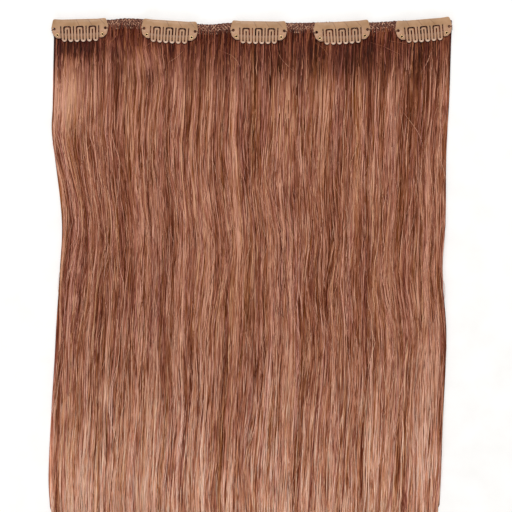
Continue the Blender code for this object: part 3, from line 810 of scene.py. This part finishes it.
def buildBand():
    bm = bmesh.new()
    rings = []
    for k in range(bandValues["steps"] + 1):
        share = k / bandValues["steps"]
        x = (share - 0.5) * hairValues["width"]
        ring = []
        for y, z in bandValues["section"]:
            wave = bandValues["weave"] * noise.noise(Vector((x / bandValues["weavePitch"], y, z)))
            place = weftOrigin + Vector((x, bandTop(share) + y * mm + wave, z * mm + wave * (z > 0)))
            ring.append(bm.verts.new(place))
        rings.append(ring)
    joinRings(bm, rings, capped=True)
    return finishMesh("band_tape", bm)


newObject("band_tape", buildBand(), tapeMaterial, ["weft_band"], weft)


stitchValues = {
    "steps": 4,
    "sides": 5,
    "arch": 0.22 * mm,
    "sunk": 0.05 * mm,
    "flatness": 0.8,
    "loose": 0.5,
    "sizeVary": 0.18,
    "stagger": 0.25 * mm,
    "endGap": 1.2 * mm,
}


# One stitch: a short thread arched over the band, its ends sunk in it.
def stitchMesh(length, thick):
    bm = bmesh.new()
    steps, sides = stitchValues["steps"], stitchValues["sides"]
    rings = []
    for k in range(steps + 1):
        t = k / steps
        radius = thick / 2 * (0.45 + 0.55 * math.sin(math.pi * t) ** 0.6)
        y = (t - 0.5) * length
        z = stitchValues["arch"] * math.sin(math.pi * t) - stitchValues["sunk"]
        ring = []
        for n in range(sides):
            turn = 2 * math.pi * n / sides
            high = z + radius * stitchValues["flatness"] * math.sin(turn)
            ring.append(bm.verts.new((radius * math.cos(turn), y, high)))
        rings.append(ring)
    joinRings(bm, rings, capped=True)
    return finishMesh("stitch", bm)


# Stitches set along a line at a pitch, leaning by turns to either side.
def buildStitchTree():
    tree, given = newTree("SewAlong", {
        "Object": ["Line", "Stitch"],
        "Int": ["Seed"],
        "Float": ["Pitch", "Lean", "Loose", "Shift", "Size Vary"],
        "Material": ["Material"],
    })
    lines = addNode(tree, "GeometryNodeObjectInfo", None, {"Object": given["Line"]}).outputs["Geometry"]
    stitch = addNode(tree, "GeometryNodeObjectInfo", None, {"Object": given["Stitch"]}).outputs["Geometry"]
    spaced = addNode(tree, "GeometryNodeCurveToPoints", {"mode": "LENGTH"},
                     {"Curve": lines, "Length": given["Pitch"]})
    index = addNode(tree, "GeometryNodeInputIndex")
    parity = addNode(tree, maths, {"operation": "MODULO"}, {0: index, 1: 2.0})
    side = addNode(tree, maths, {"operation": "MULTIPLY_ADD"}, {0: parity, 1: 2.0, 2: -1.0})
    chances = []
    for k in range(3):
        seed = addNode(tree, maths, {"operation": "ADD"}, {0: given["Seed"], 1: float(17 * k)})
        chances.append(addNode(tree, "FunctionNodeRandomValue", None,
                               {"ID": index, "Seed": seed, "Min": -1.0}))
    lean = addNode(tree, maths, {"operation": "MULTIPLY"}, {0: side, 1: given["Lean"]})
    unsure = addNode(tree, maths, {"operation": "MULTIPLY"}, {0: chances[0], 1: given["Loose"]})
    turn = addNode(tree, maths, {"operation": "ADD"}, {0: lean, 1: unsure})
    rotation = addNode(tree, "ShaderNodeCombineXYZ", None, {"Z": turn})
    toned = addNode(tree, "GeometryNodeStoreNamedAttribute", None,
                    {"Geometry": spaced.outputs["Points"], "Name": "threadTone", "Value": chances[2]})
    size = addNode(tree, maths, {"operation": "MULTIPLY_ADD"},
                   {0: chances[1], 1: given["Size Vary"], 2: 1.0})
    placed = addNode(tree, "GeometryNodeInstanceOnPoints", None,
                     {"Points": toned, "Instance": stitch, "Rotation": rotation, "Scale": size})
    real = addNode(tree, "GeometryNodeRealizeInstances", None, {"Geometry": placed})
    offset = addNode(tree, "ShaderNodeCombineXYZ", None, {"X": given["Shift"]})
    moved = addNode(tree, "GeometryNodeSetPosition", None, {"Geometry": real, "Offset": offset})
    smooth = addNode(tree, "GeometryNodeSetShadeSmooth", None, {"Geometry": moved})
    coloured = addNode(tree, "GeometryNodeSetMaterial", None,
                       {"Geometry": smooth, "Material": given["Material"]})
    addNode(tree, "NodeGroupOutput", None, {"Geometry": coloured})
    return tree


# Rows down the band: place below its top edge, height and pitch in millimetres, lean in degrees,
# length and thickness in millimetres, thread.
stitchRows = [
    (0.15, 1.50, 1.20, 74, 1.25, 0.42, seamMaterial),
    (1.15, 1.85, 0.98, 32, 1.60, 0.44, stitchMaterial),
    (2.30, 1.92, 1.02, -36, 1.70, 0.44, stitchMaterial),
    (3.45, 1.90, 1.00, 24, 1.60, 0.42, stitchMaterial),
    (4.45, 1.85, 1.10, -20, 1.30, 0.42, seamMaterial),
    (5.30, 1.70, 1.12, 8, 0.90, 0.50, stitchMaterial),
]
rowSteps = 160
stitchTree = buildStitchTree()
for number, (down, height, pitch, lean, length, thick, thread) in enumerate(stitchRows, start=1):
    line = []
    for k in range(rowSteps + 1):
        share = k / rowSteps
        x = (share - 0.5) * (hairValues["width"] - stitchValues["endGap"])
        line.append(Vector((x, bandTop(share) - down * mm, height * mm)))
    lineObject = guideCurves(f"row_{number}", [line])
    stitchObject = bpy.data.objects.new(f"stitch_{number}", stitchMesh(length * mm, thick * mm))
    scene.collection.objects.link(stitchObject)
    mesh = meshFromTree(f"band_stitches_{number}", stitchTree, {
        "Line": lineObject, "Stitch": stitchObject, "Pitch": pitch * mm, "Lean": math.radians(lean),
        "Loose": stitchValues["loose"], "Seed": 3 + number, "Shift": stitchValues["stagger"] * (number % 2),
        "Size Vary": stitchValues["sizeVary"], "Material": thread})
    newObject(f"band_stitches_{number}", mesh, thread, [], weft)
    bpy.data.objects.remove(lineObject)
    bpy.data.objects.remove(stitchObject)
print("band done")


# the clips

# sizes in millimetres, places from the middle of a clip's top edge
clipValues = {
    "plate": 0.5,
    "plateFoot": 2.85,
    "springFoot": 2.05,
    "edge": 0.18,
    "bar": 3.8,
    "earRise": 0.4,
    "earStart": 10.0,
    "toothLength": 12.7,
    "tipRise": 0.4,
    "tipIndraw": 0.2,
    "pairs": 3,
    "pairPitch": 7.1,
    "toothWidth": 2.85,
    "legWidth": 1.0,
    "pairGap": 0.75,
    "archSlot": 0.8,
    "lobeWidth": 5.05,
    "lobeDepth": 10.6,
    "lobeCorner": 1.2,
    "sewHole": 0.8,
    "rivetHole": 0.7,
    "holeSteps": 22,
    "springEye": 1.35,
    "springMiddle": 1.4,
    "springSag": 0.7,
    "springSteps": 32,
    "bendFrom": 10.4,
    "bendTo": 13.4,
    "bendHeight": 3,
    "bow": 0.22,
    "bowReach": 16,
    "tipBend": 0.45,
    "tipBendLength": 3.0,
    "hingeInset": 0.6,
    # painted reflection lines on the bar: place across and slant of each, and how far they move on each clip
    "scratches": ((-2.6, 0.5), (3.9, 0.7), (10.6, 0.9)),
    "scratchShifts": (0.6, 0.5, -0.4, -2.6, -7.0),
    "sharpAngle": 38,
}
cv = clipValues
pairWidth = 2 * cv["toothWidth"] + cv["pairGap"]
longSlot = cv["pairPitch"] - pairWidth
combHalf = cv["pairPitch"] * (cv["pairs"] - 1) / 2 + pairWidth / 2
lobeInner = combHalf + longSlot
earEnd = lobeInner + cv["lobeWidth"] - cv["lobeCorner"]
rivetX = lobeInner + cv["lobeWidth"] * 0.327
rivetY = -cv["lobeDepth"] * 0.825
sewX = lobeInner + cv["lobeWidth"] * 0.663
sewY = -cv["lobeDepth"] * 0.495


def barTop(x):
    reach = max(0.0, abs(x) - cv["earStart"]) / (earEnd - cv["earStart"])
    return cv["earRise"] * min(reach, 1.0)


# Outline through (x, y, radius) corners, each rounded by an arc, with long edges cut short.
def rounded(corners, steps=7, longest=0.7):
    points = []
    count = len(corners)
    for k, (x, y, radius) in enumerate(corners):
        here = Vector((x, y))
        if radius <= 0:
            points.append(here)
            continue
        back = (Vector(corners[k - 1][:2]) - here).normalized()
        ahead = (Vector(corners[(k + 1) % count][:2]) - here).normalized()
        half = back.angle(ahead) / 2
        centre = here + (back + ahead).normalized() * radius / math.sin(half)
        start = here + back * radius / math.tan(half) - centre
        sweep = math.copysign(math.pi - 2 * half, back.cross(ahead))
        for n in range(steps + 1):
            points.append(centre + Matrix.Rotation(-sweep * n / steps, 2) @ start)
    kept = []
    for point in points:
        if not kept or (point - kept[-1]).length > 0.001:
            kept.append(point)
    if (kept[0] - kept[-1]).length < 0.001:
        kept.pop()
    dense = []
    for k, point in enumerate(kept):
        ahead = kept[(k + 1) % len(kept)]
        cuts = max(1, math.ceil((ahead - point).length / longest))
        dense += [point.lerp(ahead, n / cuts) for n in range(cuts)]
    return dense


def circle(x, y, radius, steps):
    turns = [2 * math.pi * k / steps for k in range(steps)]
    return [Vector((x + radius * math.cos(a), y + radius * math.sin(a))) for a in turns]


def area(points):
    return sum(points[k - 1].cross(points[k]) for k in range(len(points))) / 2


# The outline moved into the metal by a distance, but not where its edge is a seam.
def inset(points, distance, onSeam):
    moved = []
    count = len(points)
    for k, here in enumerate(points):
        before, after = points[k - 1], points[(k + 1) % count]
        a, b = (here - before).normalized(), (after - here).normalized()
        normalA, normalB = Vector((-a.y, a.x)), Vector((-b.y, b.x))
        reachA = 0.0 if onSeam(before, here) else distance
        reachB = 0.0 if onSeam(here, after) else distance
        turn = normalA.cross(normalB)
        if abs(turn) < 0.03:
            step = (normalA + normalB).normalized() * (reachA + reachB) / 2
        else:
            step = Vector((reachA * normalB.y - reachB * normalA.y,
                           reachB * normalA.x - reachA * normalB.x)) / turn
        moved.append(here + step)
    return moved


# Sheet metal with holes and rounded rims, drawn flat in millimetres and then bent by shape(x, y).
def stampedPlate(name, loops, foot, shape, toWorld, onSeam=lambda a, b: False, scratchShift=0.0):
    edge = cv["edge"]
    bm = bmesh.new()
    rimLayer = bm.verts.layers.float.new("rim")
    placeLayer = bm.verts.layers.float_vector.new("clipPlace")
    top = foot + cv["plate"]
    soft = edge * 0.293  # the middle of a quarter round
    steps = [(edge, foot, 0.0), (soft, foot + soft, 0.7), (0.0, foot + edge, 1.0),
             (0.0, top - edge, 1.0), (soft, top - soft, 0.7), (edge, top, 0.0)]
    caps = [[], []]
    for number, loop in enumerate(loops):
        # the outline runs one way round and the holes the other
        if (area(loop) > 0) != (number == 0):
            loop = loop[::-1]
        rings = []
        for reach, z, rim in steps:
            ring = []
            for point in inset(loop, reach, onSeam) if reach else loop:
                corner = bm.verts.new((point.x, point.y, z))
                corner[rimLayer] = rim
                ring.append(corner)
            rings.append(ring)
        joinRings(bm, rings)
        caps[0].append(rings[0])
        caps[1].append(rings[-1])
    for cap, normal in zip(caps, ((0, 0, -1), (0, 0, 1))):
        edges = []
        for ring in cap:
            for n in range(len(ring)):
                edges.append(bm.edges.get((ring[n - 1], ring[n])))
        bmesh.ops.triangle_fill(bm, use_beauty=True, edges=edges, normal=normal)
    for corner in bm.verts:
        corner[placeLayer] = corner.co - Vector((scratchShift, 0, 0))
        corner.co.z += shape(corner.co.x, corner.co.y)
        corner.co = toWorld @ (corner.co * mm)
    mesh = finishMesh(name, bm)
    mesh.set_sharp_from_angle(angle=math.radians(cv["sharpAngle"]))
    return mesh


# The sheet is bowed along its length, and the teeth's tips are bent down.
def clipShape(x, y):
    bow = cv["bow"] * (1 - min(abs(x) / cv["bowReach"], 1) ** 2)
    if abs(x) >= combHalf + 0.2:
        return bow
    reach = cv["tipBendLength"]
    return bow - cv["tipBend"] * max(0.0, (reach - cv["toothLength"] - y) / reach) ** 1.6


def leanIn(points):
    moved = []
    for point in points:
        below = max(0.0, -point.y - cv["bar"]) / (cv["toothLength"] - cv["bar"])
        moved.append(Vector((point.x * (1 - cv["tipIndraw"] / combHalf * below), point.y)))
    return moved


def tipDepth(x):
    return cv["toothLength"] - cv["tipRise"] * (x / combHalf) ** 2


def combLoops():
    bar, end = cv["bar"], cv["bendFrom"]
    archUnder = bar + cv["archSlot"] + cv["legWidth"]
    corners = [(-end, -bar, 0), (-end, barTop(end), 0), (-cv["earStart"], 0, 0), (cv["earStart"], 0, 0),
               (end, barTop(end), 0), (end, -bar, 0), (combHalf, -bar, 0)]
    rightEdge = combHalf
    for tooth in range(2 * cv["pairs"]):
        tip = -tipDepth(rightEdge - cv["toothWidth"] / 2)
        leftEdge = rightEdge - cv["toothWidth"]
        bend = cv["toothWidth"] / 2 - 0.01
        corners += [(rightEdge, tip, bend), (leftEdge, tip, bend)]
        if tooth == 2 * cv["pairs"] - 1:
            break
        inPair = tooth % 2 == 0
        slot = cv["pairGap"] if inPair else longSlot
        slotTop = -archUnder if inPair else -bar
        rightEdge = leftEdge - slot
        corners += [(leftEdge, slotTop, slot / 2 - 0.01), (rightEdge, slotTop, slot / 2 - 0.01)]
    corners.append((-combHalf, -bar, 0))
    loops = [leanIn(rounded(corners))]
    for k in range(cv["pairs"]):
        centre = (k - (cv["pairs"] - 1) / 2) * cv["pairPitch"]
        outer = pairWidth / 2 - cv["legWidth"]
        inner = cv["pairGap"] / 2 + cv["legWidth"]
        slot = outer - inner
        foot = -tipDepth(centre) + cv["legWidth"]
        arch = -bar - cv["archSlot"]
        loops.append(leanIn(rounded([
            (centre - outer, foot, slot / 2 - 0.01), (centre - outer, -bar, cv["legWidth"]),
            (centre + outer, -bar, cv["legWidth"]), (centre + outer, foot, slot / 2 - 0.01),
            (centre + inner, foot, slot / 2 - 0.01), (centre + inner, arch, cv["legWidth"] * 0.8),
            (centre - inner, arch, cv["legWidth"] * 0.8), (centre - inner, foot, slot / 2 - 0.01)], 5)))
    return loops


def mirrored(loops, side):
    return [[Vector((point.x * side, point.y)) for point in loop] for loop in loops]


def bendLoops(side):
    start, end = cv["bendFrom"], cv["bendTo"]
    corners = [(start, barTop(start), 0), (end, barTop(end), 0), (end, -cv["bar"], 0),
               (lobeInner, -cv["bar"], 0), (start, -cv["bar"], 0)]
    return mirrored([rounded(corners)], side)


def lobeLoops(side):
    end, width, depth, corner = cv["bendTo"], cv["lobeWidth"], cv["lobeDepth"], cv["lobeCorner"]
    ear = lobeInner + width * 0.76
    corners = [(end, -cv["bar"], 0), (end, barTop(end), 0), (ear, barTop(ear), corner)]
    for x, y, radius in ((1.00, 0.45, 1.3), (0.80, 0.81, 1.3), (0.40, 0.98, 0.8), (0.00, 1.00, 0.3)):
        corners.append((lobeInner + width * x, -depth * y, corner * radius))
    corners.append((lobeInner, -cv["bar"], 0))
    sewHole = circle(sewX, sewY, cv["sewHole"], cv["holeSteps"])
    rivetHole = circle(rivetX, rivetY, cv["rivetHole"], cv["holeSteps"])
    return mirrored([rounded(corners), sewHole, rivetHole], side)


def springLoops():
    eye, steps = cv["springEye"], cv["springSteps"]
    upper, lower = [], []
    for k in range(steps + 1):
        t = 2 * k / steps - 1
        middle = rivetY - cv["springSag"] * (1 - t * t)
        half = eye + (cv["springMiddle"] - eye) * (1 - t * t)
        upper.append(Vector((t * rivetX, middle + half)))
        lower.append(Vector((t * rivetX, middle - half)))
    turns = [math.pi * k / 12 for k in range(1, 12)]
    right = [Vector((rivetX + eye * math.sin(a), rivetY + eye * math.cos(a))) for a in turns]
    left = [Vector((-point.x, point.y)) for point in reversed(right)]
    holes = [circle(x, rivetY, cv["rivetHole"], cv["holeSteps"]) for x in (rivetX, -rivetX)]
    return [upper + right + lower[::-1] + left] + holes


# Where the bar runs on into the bent strips and the lobes, its edges are seams.
def clipSeam(a, b):
    for x in (cv["bendFrom"], cv["bendTo"]):
        if abs(abs(a.x) - x) < 0.01 and abs(abs(b.x) - x) < 0.01:
            return True
    level = abs(a.y + cv["bar"]) < 0.01 and abs(b.y + cv["bar"]) < 0.01
    near, far = sorted((abs(a.x), abs(b.x)))
    return level and near > lobeInner - 0.01 and far < cv["bendTo"] + 0.01


# A closed profile of (radius, height) points turned about an upright axis at x, y.
def turnedPiece(name, profile, x, y, toWorld, around=28):
    bm = bmesh.new()
    rings = []
    for radius, z in profile:
        ring = [Vector((point.x, point.y, z)) for point in circle(x, y, radius, around)]
        rings.append([bm.verts.new(toWorld @ (place * mm)) for place in ring])
    joinRings(bm, rings[-1:] + rings)
    return finishMesh(name, bm)


clipLook = {
    "bar": ("#99734f", "#a57e5b", "#b28b69"),
    # painted shade: the spring is drawn in a darker tan than the comb, for the shade behind the teeth
    "lobes": "#bd9076",
    "spring": ("#6a4426", "#7a5131", "#8a5f3b"),
    "springEnds": "#7a5031",
    # colour and strength of the painted reflection lines
    "scratch": "#6b4631",
    "scratchDepth": 0.7,
    # colour of the paler rims and tips, partly rubbed and partly painted highlight
    "rubbed": "#ebd0bb",
    "brass": ("#8d7050", "#c2a078", "#e4c9a1"),
    "specular": 0.22,
    "coat": 0.03,
}


# Spring steel with a baked satin lacquer: soft gloss, paler at the rims and at the ends of the teeth, partly
# rubbed and partly painted highlight.
def lacquerMaterial(name, colours, lowColour):
    material, tree, shader = newMaterial(name)
    place = addNode(tree, "ShaderNodeAttribute", {"attribute_name": "clipPlace"}).outputs["Vector"]
    rim = addNode(tree, "ShaderNodeAttribute", {"attribute_name": "rim"})
    spot = addNode(tree, "ShaderNodeTexCoord").outputs["Object"]
    # clouding in the lacquer, some 6 mm across
    cloud = addNode(tree, "ShaderNodeTexNoise", None,
                    {"Vector": spot, "Scale": 170.0, "Detail": 3.0, "Roughness": 0.55})
    ramp = addNode(tree, "ShaderNodeValToRGB", None, {"Fac": cloud.outputs["Fac"]})
    fillRamp(ramp, [(0.30, colours[0]), (0.50, colours[1]), (0.70, colours[2])])
    parts = addNode(tree, "ShaderNodeSeparateXYZ", None, {0: place})
    tipY = -cv["toothLength"]
    # the lobes and tips are a little pinker than the bar
    low = addNode(tree, "ShaderNodeMapRange", ease,
                  {"Value": parts.outputs["Y"], "From Min": -8.0, "From Max": -2.0, "To Min": 1.0,
                   "To Max": 0.0})
    pinker = addNode(tree, "ShaderNodeMix", rgba,
                     {"Factor": addNode(tree, maths, {"operation": "MULTIPLY"}, {0: low, 1: 0.5}),
                      "A": ramp.outputs["Color"], "B": linear(lowColour)})
    # painted reflection: thin dark lines across the bar, reflected stripes in the lacquer
    marks = None
    for x, slope in cv["scratches"]:
        line = addNode(tree, maths, {"operation": "MULTIPLY_ADD"}, {0: parts.outputs["Y"], 1: slope, 2: -x})
        line = addNode(tree, maths, {"operation": "ADD"}, {0: parts.outputs["X"], 1: line})
        line = addNode(tree, maths, {"operation": "ABSOLUTE"}, {0: line})
        line = addNode(tree, "ShaderNodeMapRange", None,
                       {"Value": line, "From Min": 0.04, "From Max": 0.30, "To Min": 1.0, "To Max": 0.0})
        marks = line if marks is None else addNode(tree, maths, {"operation": "MAXIMUM"},
                                                   {0: marks, 1: line})
    onBar = addNode(tree, "ShaderNodeMapRange", None,
                    {"Value": parts.outputs["Y"], "From Min": -cv["bar"], "From Max": 0.8 - cv["bar"]})
    marks = addNode(tree, maths, {"operation": "MULTIPLY"}, {0: marks, 1: onBar})
    marks = addNode(tree, maths, {"operation": "MULTIPLY"}, {0: marks, 1: clipLook["scratchDepth"]})
    marked = addNode(tree, "ShaderNodeMix", rgba,
                     {"Factor": marks, "A": pinker.outputs[2], "B": linear(clipLook["scratch"])})
    # paler rims, partly rubbed and partly painted highlight, broken up by a grain of about 1 mm
    grain = addNode(tree, "ShaderNodeTexNoise", None, {"Vector": spot, "Scale": 900.0, "Detail": 2.0})
    wearAndHighlight = addNode(tree, maths, {"operation": "MULTIPLY"}, {0: rim.outputs["Fac"], 1: grain.outputs["Fac"]})
    # painted highlight: the rims are drawn brighter towards the tips
    tips = addNode(tree, "ShaderNodeMapRange", ease,
                   {"Value": parts.outputs["Y"], "From Min": tipY + 0.6, "From Max": tipY + 2.3,
                    "To Min": 2.6, "To Max": 1.0})
    wearAndHighlight = addNode(tree, maths, {"operation": "MULTIPLY"}, {0: wearAndHighlight, 1: tips})
    wearAndHighlight = addNode(tree, "ShaderNodeMapRange", None,
                   {"Value": wearAndHighlight, "From Min": 0.15, "From Max": 0.62, "To Max": 0.85})
    # painted highlight: the ends of the teeth are drawn pale all over
    ends = addNode(tree, "ShaderNodeMapRange", ease,
                   {"Value": parts.outputs["Y"], "From Min": tipY + 0.1, "From Max": tipY + 1.5,
                    "To Min": 0.7, "To Max": 0.0})
    wearAndHighlight = addNode(tree, maths, {"operation": "MAXIMUM"}, {0: wearAndHighlight, 1: ends})
    wornAndHighlit = addNode(tree, "ShaderNodeMix", rgba,
                   {"Factor": wearAndHighlight, "A": marked.outputs[2], "B": linear(clipLook["rubbed"])})
    tree.links.new(wornAndHighlit.outputs[2], shader.inputs["Base Color"])
    rough = addNode(tree, "ShaderNodeMapRange", None,
                    {"Value": cloud.outputs["Fac"], "From Min": 0.3, "From Max": 0.7, "To Min": 0.44,
                     "To Max": 0.56})
    tree.links.new(rough.outputs["Result"], shader.inputs["Roughness"])
    # orange peel of the lacquer, 0.4 mm
    peel = addNode(tree, "ShaderNodeTexNoise", None, {"Vector": spot, "Scale": 2400.0, "Detail": 1.0})
    bump = addNode(tree, "ShaderNodeBump", None,
                   {"Strength": 0.12, "Distance": 0.05 * mm, "Height": peel.outputs["Fac"]})
    tree.links.new(bump.outputs["Normal"], shader.inputs["Normal"])
    shader.inputs["Specular IOR Level"].default_value = clipLook["specular"]
    shader.inputs["Coat Weight"].default_value = clipLook["coat"]
    shader.inputs["Coat Roughness"].default_value = 0.2
    return material


# Brass eyelets, rolled over and dulled: warm metal with darker clouds.
def eyeletMaterial():
    material, tree, shader = newMaterial("brass_rolled_tarnished")
    spot = addNode(tree, "ShaderNodeTexCoord").outputs["Object"]
    cloud = addNode(tree, "ShaderNodeTexNoise", None, {"Vector": spot, "Scale": 1500.0, "Detail": 3.0})
    ramp = addNode(tree, "ShaderNodeValToRGB", None, {"Fac": cloud.outputs["Fac"]})
    fillRamp(ramp, list(zip((0.30, 0.55, 0.75), clipLook["brass"])))
    tree.links.new(ramp.outputs["Color"], shader.inputs["Base Color"])
    rough = addNode(tree, "ShaderNodeMapRange", None,
                    {"Value": cloud.outputs["Fac"], "From Min": 0.3, "From Max": 0.7, "To Min": 0.28,
                     "To Max": 0.5})
    tree.links.new(rough.outputs["Result"], shader.inputs["Roughness"])
    shader.inputs["Metallic"].default_value = 1.0
    return material


lacquer = lacquerMaterial("spring_steel_baked_tan_lacquer", clipLook["bar"], clipLook["lobes"])
# painted shade: the spring's lacquer is drawn darker than the comb's
springName = "spring_steel_thin_bronze_lacquer"
springLacquer = lacquerMaterial(springName, clipLook["spring"], clipLook["springEnds"])
eyeletBrass = eyeletMaterial()
# radius and height in millimetres, down the bore and up the outside
eyeletProfile = [
    (0.45, 1.62), (0.52, 1.54), (0.75, 1.50), (0.95, 1.55), (1.02, 1.66), (0.95, 1.78), (0.66, 1.82),
    (0.66, 3.40), (0.92, 3.40), (1.03, 3.48), (1.06, 3.60), (1.00, 3.72), (0.86, 3.79), (0.70, 3.78),
    (0.56, 3.70), (0.48, 3.56), (0.45, 3.38),
]


# in millimetres and degrees
threadValues = {"turns": 3, "sides": 6, "radius": 0.13, "reach": 1.72, "spread": 12, "step": 0.22}


# Sewing thread through a lobe's hole and round its outer edge.
def threadTurns(name, side, toWorld, seed):
    chance = random.Random(seed)
    bm = bmesh.new()
    sides, radius = threadValues["sides"], threadValues["radius"]
    sewPlace = Vector((sewX, sewY))
    for turn in range(threadValues["turns"]):
        angle = math.radians(chance.uniform(-28, 14) - threadValues["spread"] * turn)
        reach = threadValues["reach"] + chance.uniform(-0.04, 0.06)
        out = Vector((math.cos(angle), math.sin(angle)))
        inner = sewPlace + out * (0.35 + 0.12 * turn)
        outer = sewPlace + out * reach
        path = [
            (inner, 1.7), (inner, 3.2), (inner + out * 0.25, 3.55), (inner.lerp(outer, 0.5), 3.62),
            (outer - out * 0.3, 3.55), (outer + out * 0.1, 3.2), (outer + out * 0.1, 2.2),
            (outer - out * 0.5, 1.6), (inner + out * 0.3, 1.5),
        ]
        points = []
        for place, z in path:
            points.append(Vector((place.x * side, place.y + threadValues["step"] * turn, z)))
        rings = []
        for k, point in enumerate(points):
            ahead = (points[(k + 1) % len(points)] - points[k - 1]).normalized()
            flat = ahead.cross(Vector((0, 1, 0.2))).normalized()
            other = ahead.cross(flat)
            ring = []
            for n in range(sides):
                a = 2 * math.pi * n / sides
                place = point + flat * radius * math.cos(a) + other * radius * math.sin(a)
                ring.append(bm.verts.new(toWorld @ (place * mm)))
            rings.append(ring)
        joinRings(bm, rings[-1:] + rings)
    return finishMesh(name, bm)


for joint, shift in zip(frame["joints"], cv["scratchShifts"]):
    clip = joint["name"].replace("_snap", "")
    across = -Vector(joint["axis"]).normalized()
    up = Vector((0, 0, 1))
    ahead = up.cross(across)
    seat = Vector(joint["pos_m"]) + ahead * cv["hingeInset"] * mm
    seat.z = 0
    toWorld = Matrix.Translation(seat) @ Matrix((across, ahead, up)).transposed().to_4x4()
    onTop = (cv["plateFoot"], clipShape, toWorld, clipSeam, shift)
    comb = stampedPlate(clip + "_comb_plate", combLoops(), *onTop)
    newObject(clip + "_comb_plate", comb, lacquer, [clip + "_comb"], joint["child"])
    spring = stampedPlate(clip + "_spring", springLoops(), cv["springFoot"], lambda x, y: 0.0, toWorld)
    newObject(clip + "_spring", spring, springLacquer, [clip + "_spring_bar"], weft)
    for side, word in ((-1, "left"), (1, "right")):
        lobe = stampedPlate(f"{clip}_lobe_plate_{word}", lobeLoops(side), *onTop)
        newObject(f"{clip}_lobe_plate_{word}", lobe, lacquer, [f"{clip}_lobe_{word}"], weft)
        strip = stampedPlate(f"{clip}_bend_{word}", bendLoops(side), *onTop)
        bend = newObject(f"{clip}_bend_{word}", strip, lacquer, [], None)
        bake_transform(bend)
        eyelet = turnedPiece(f"{clip}_eyelet_{word}", eyeletProfile, side * rivetX, rivetY, toWorld)
        rivet = f"{clip}_rivet_{word}"
        newObject(f"{clip}_eyelet_{word}", eyelet, eyeletBrass, [rivet], weft)
        thread = threadTurns(f"{clip}_thread_{word}", side, toWorld, clip + word)
        newObject(f"{clip}_thread_{word}", thread, seamMaterial, [], weft)
print("clips done")


# the floor, the light and the camera

stageValues = {
    "floor": 1.6,
    "floorDrop": 0.2 * mm,
    "sensor": 36,
    "cameraHeight": 1.15,
    "view": 287.2 * mm,
    "lookAt": (1.8 * mm, -133 * mm),
    "clipHeight": 3 * mm,
    "keyPlace": (-0.12, 0.80, 1.92),
    "keyPower": 27.9,
    "keySize": 0.40,
    "fillPlace": (-0.30, -0.90, 0.60),
    "fillPower": 1.6,
    "fillSize": 0.35,
    "sky": 0.46,
}


# Matt white card: nearly even, with the faintest fibre.
def cardMaterial():
    material, tree, shader = newMaterial("white_card_matt")
    spot = addNode(tree, "ShaderNodeTexCoord").outputs["Object"]
    fibre = addNode(tree, "ShaderNodeTexNoise", None, {"Vector": spot, "Scale": 60.0, "Detail": 4.0})
    ramp = addNode(tree, "ShaderNodeValToRGB", None, {"Fac": fibre.outputs["Fac"]})
    fillRamp(ramp, [(0.3, "#f4f3f1"), (0.7, "#faf9f8")])
    tree.links.new(ramp.outputs["Color"], shader.inputs["Base Color"])
    shader.inputs["Roughness"].default_value = 0.85
    return material


floorMesh = bpy.data.meshes.new("floor")
half = stageValues["floor"]
floorCorners = [(-half, -half, 0), (half, -half, 0), (half, half, 0), (-half, half, 0)]
floorMesh.from_pydata(floorCorners, [], [(0, 1, 2, 3)])
floorMesh.materials.append(cardMaterial())
floor = bpy.data.objects.new("floor", floorMesh)
floor.location.z = -stageValues["floorDrop"]
scene.collection.objects.link(floor)


def softLight(name, place, power, size, aim):
    light = bpy.data.lights.new(name, "AREA")
    light.energy = power
    light.shape = "DISK"
    light.size = size
    made = bpy.data.objects.new(name, light)
    made.location = place
    made.rotation_euler = (Vector(aim) - Vector(place)).to_track_quat("-Z", "Y").to_euler()
    scene.collection.objects.link(made)


for name, aim in (("key", (0, 0.02, 0)), ("fill", (0, 0, 0))):
    power, size = stageValues[name + "Power"], stageValues[name + "Size"]
    softLight(name, stageValues[name + "Place"], power, size, aim)

world = bpy.data.worlds.new("studio")
world.use_nodes = True
sky = world.node_tree.nodes["Background"]
sky.inputs["Color"].default_value = linear("#fffefd")
sky.inputs["Strength"].default_value = stageValues["sky"]
scene.world = world
scene.view_settings.view_transform = "Standard"

camera = bpy.data.objects.new("camera", bpy.data.cameras.new("camera"))
camera.data.sensor_width = stageValues["sensor"]
above = stageValues["cameraHeight"] - stageValues["clipHeight"]
camera.data.lens = stageValues["sensor"] * above / stageValues["view"]
camera.location = weftOrigin + Vector((*stageValues["lookAt"], stageValues["cameraHeight"]))
scene.collection.objects.link(camera)
scene.camera = camera
print("floor, light and camera done")

print("scene done")
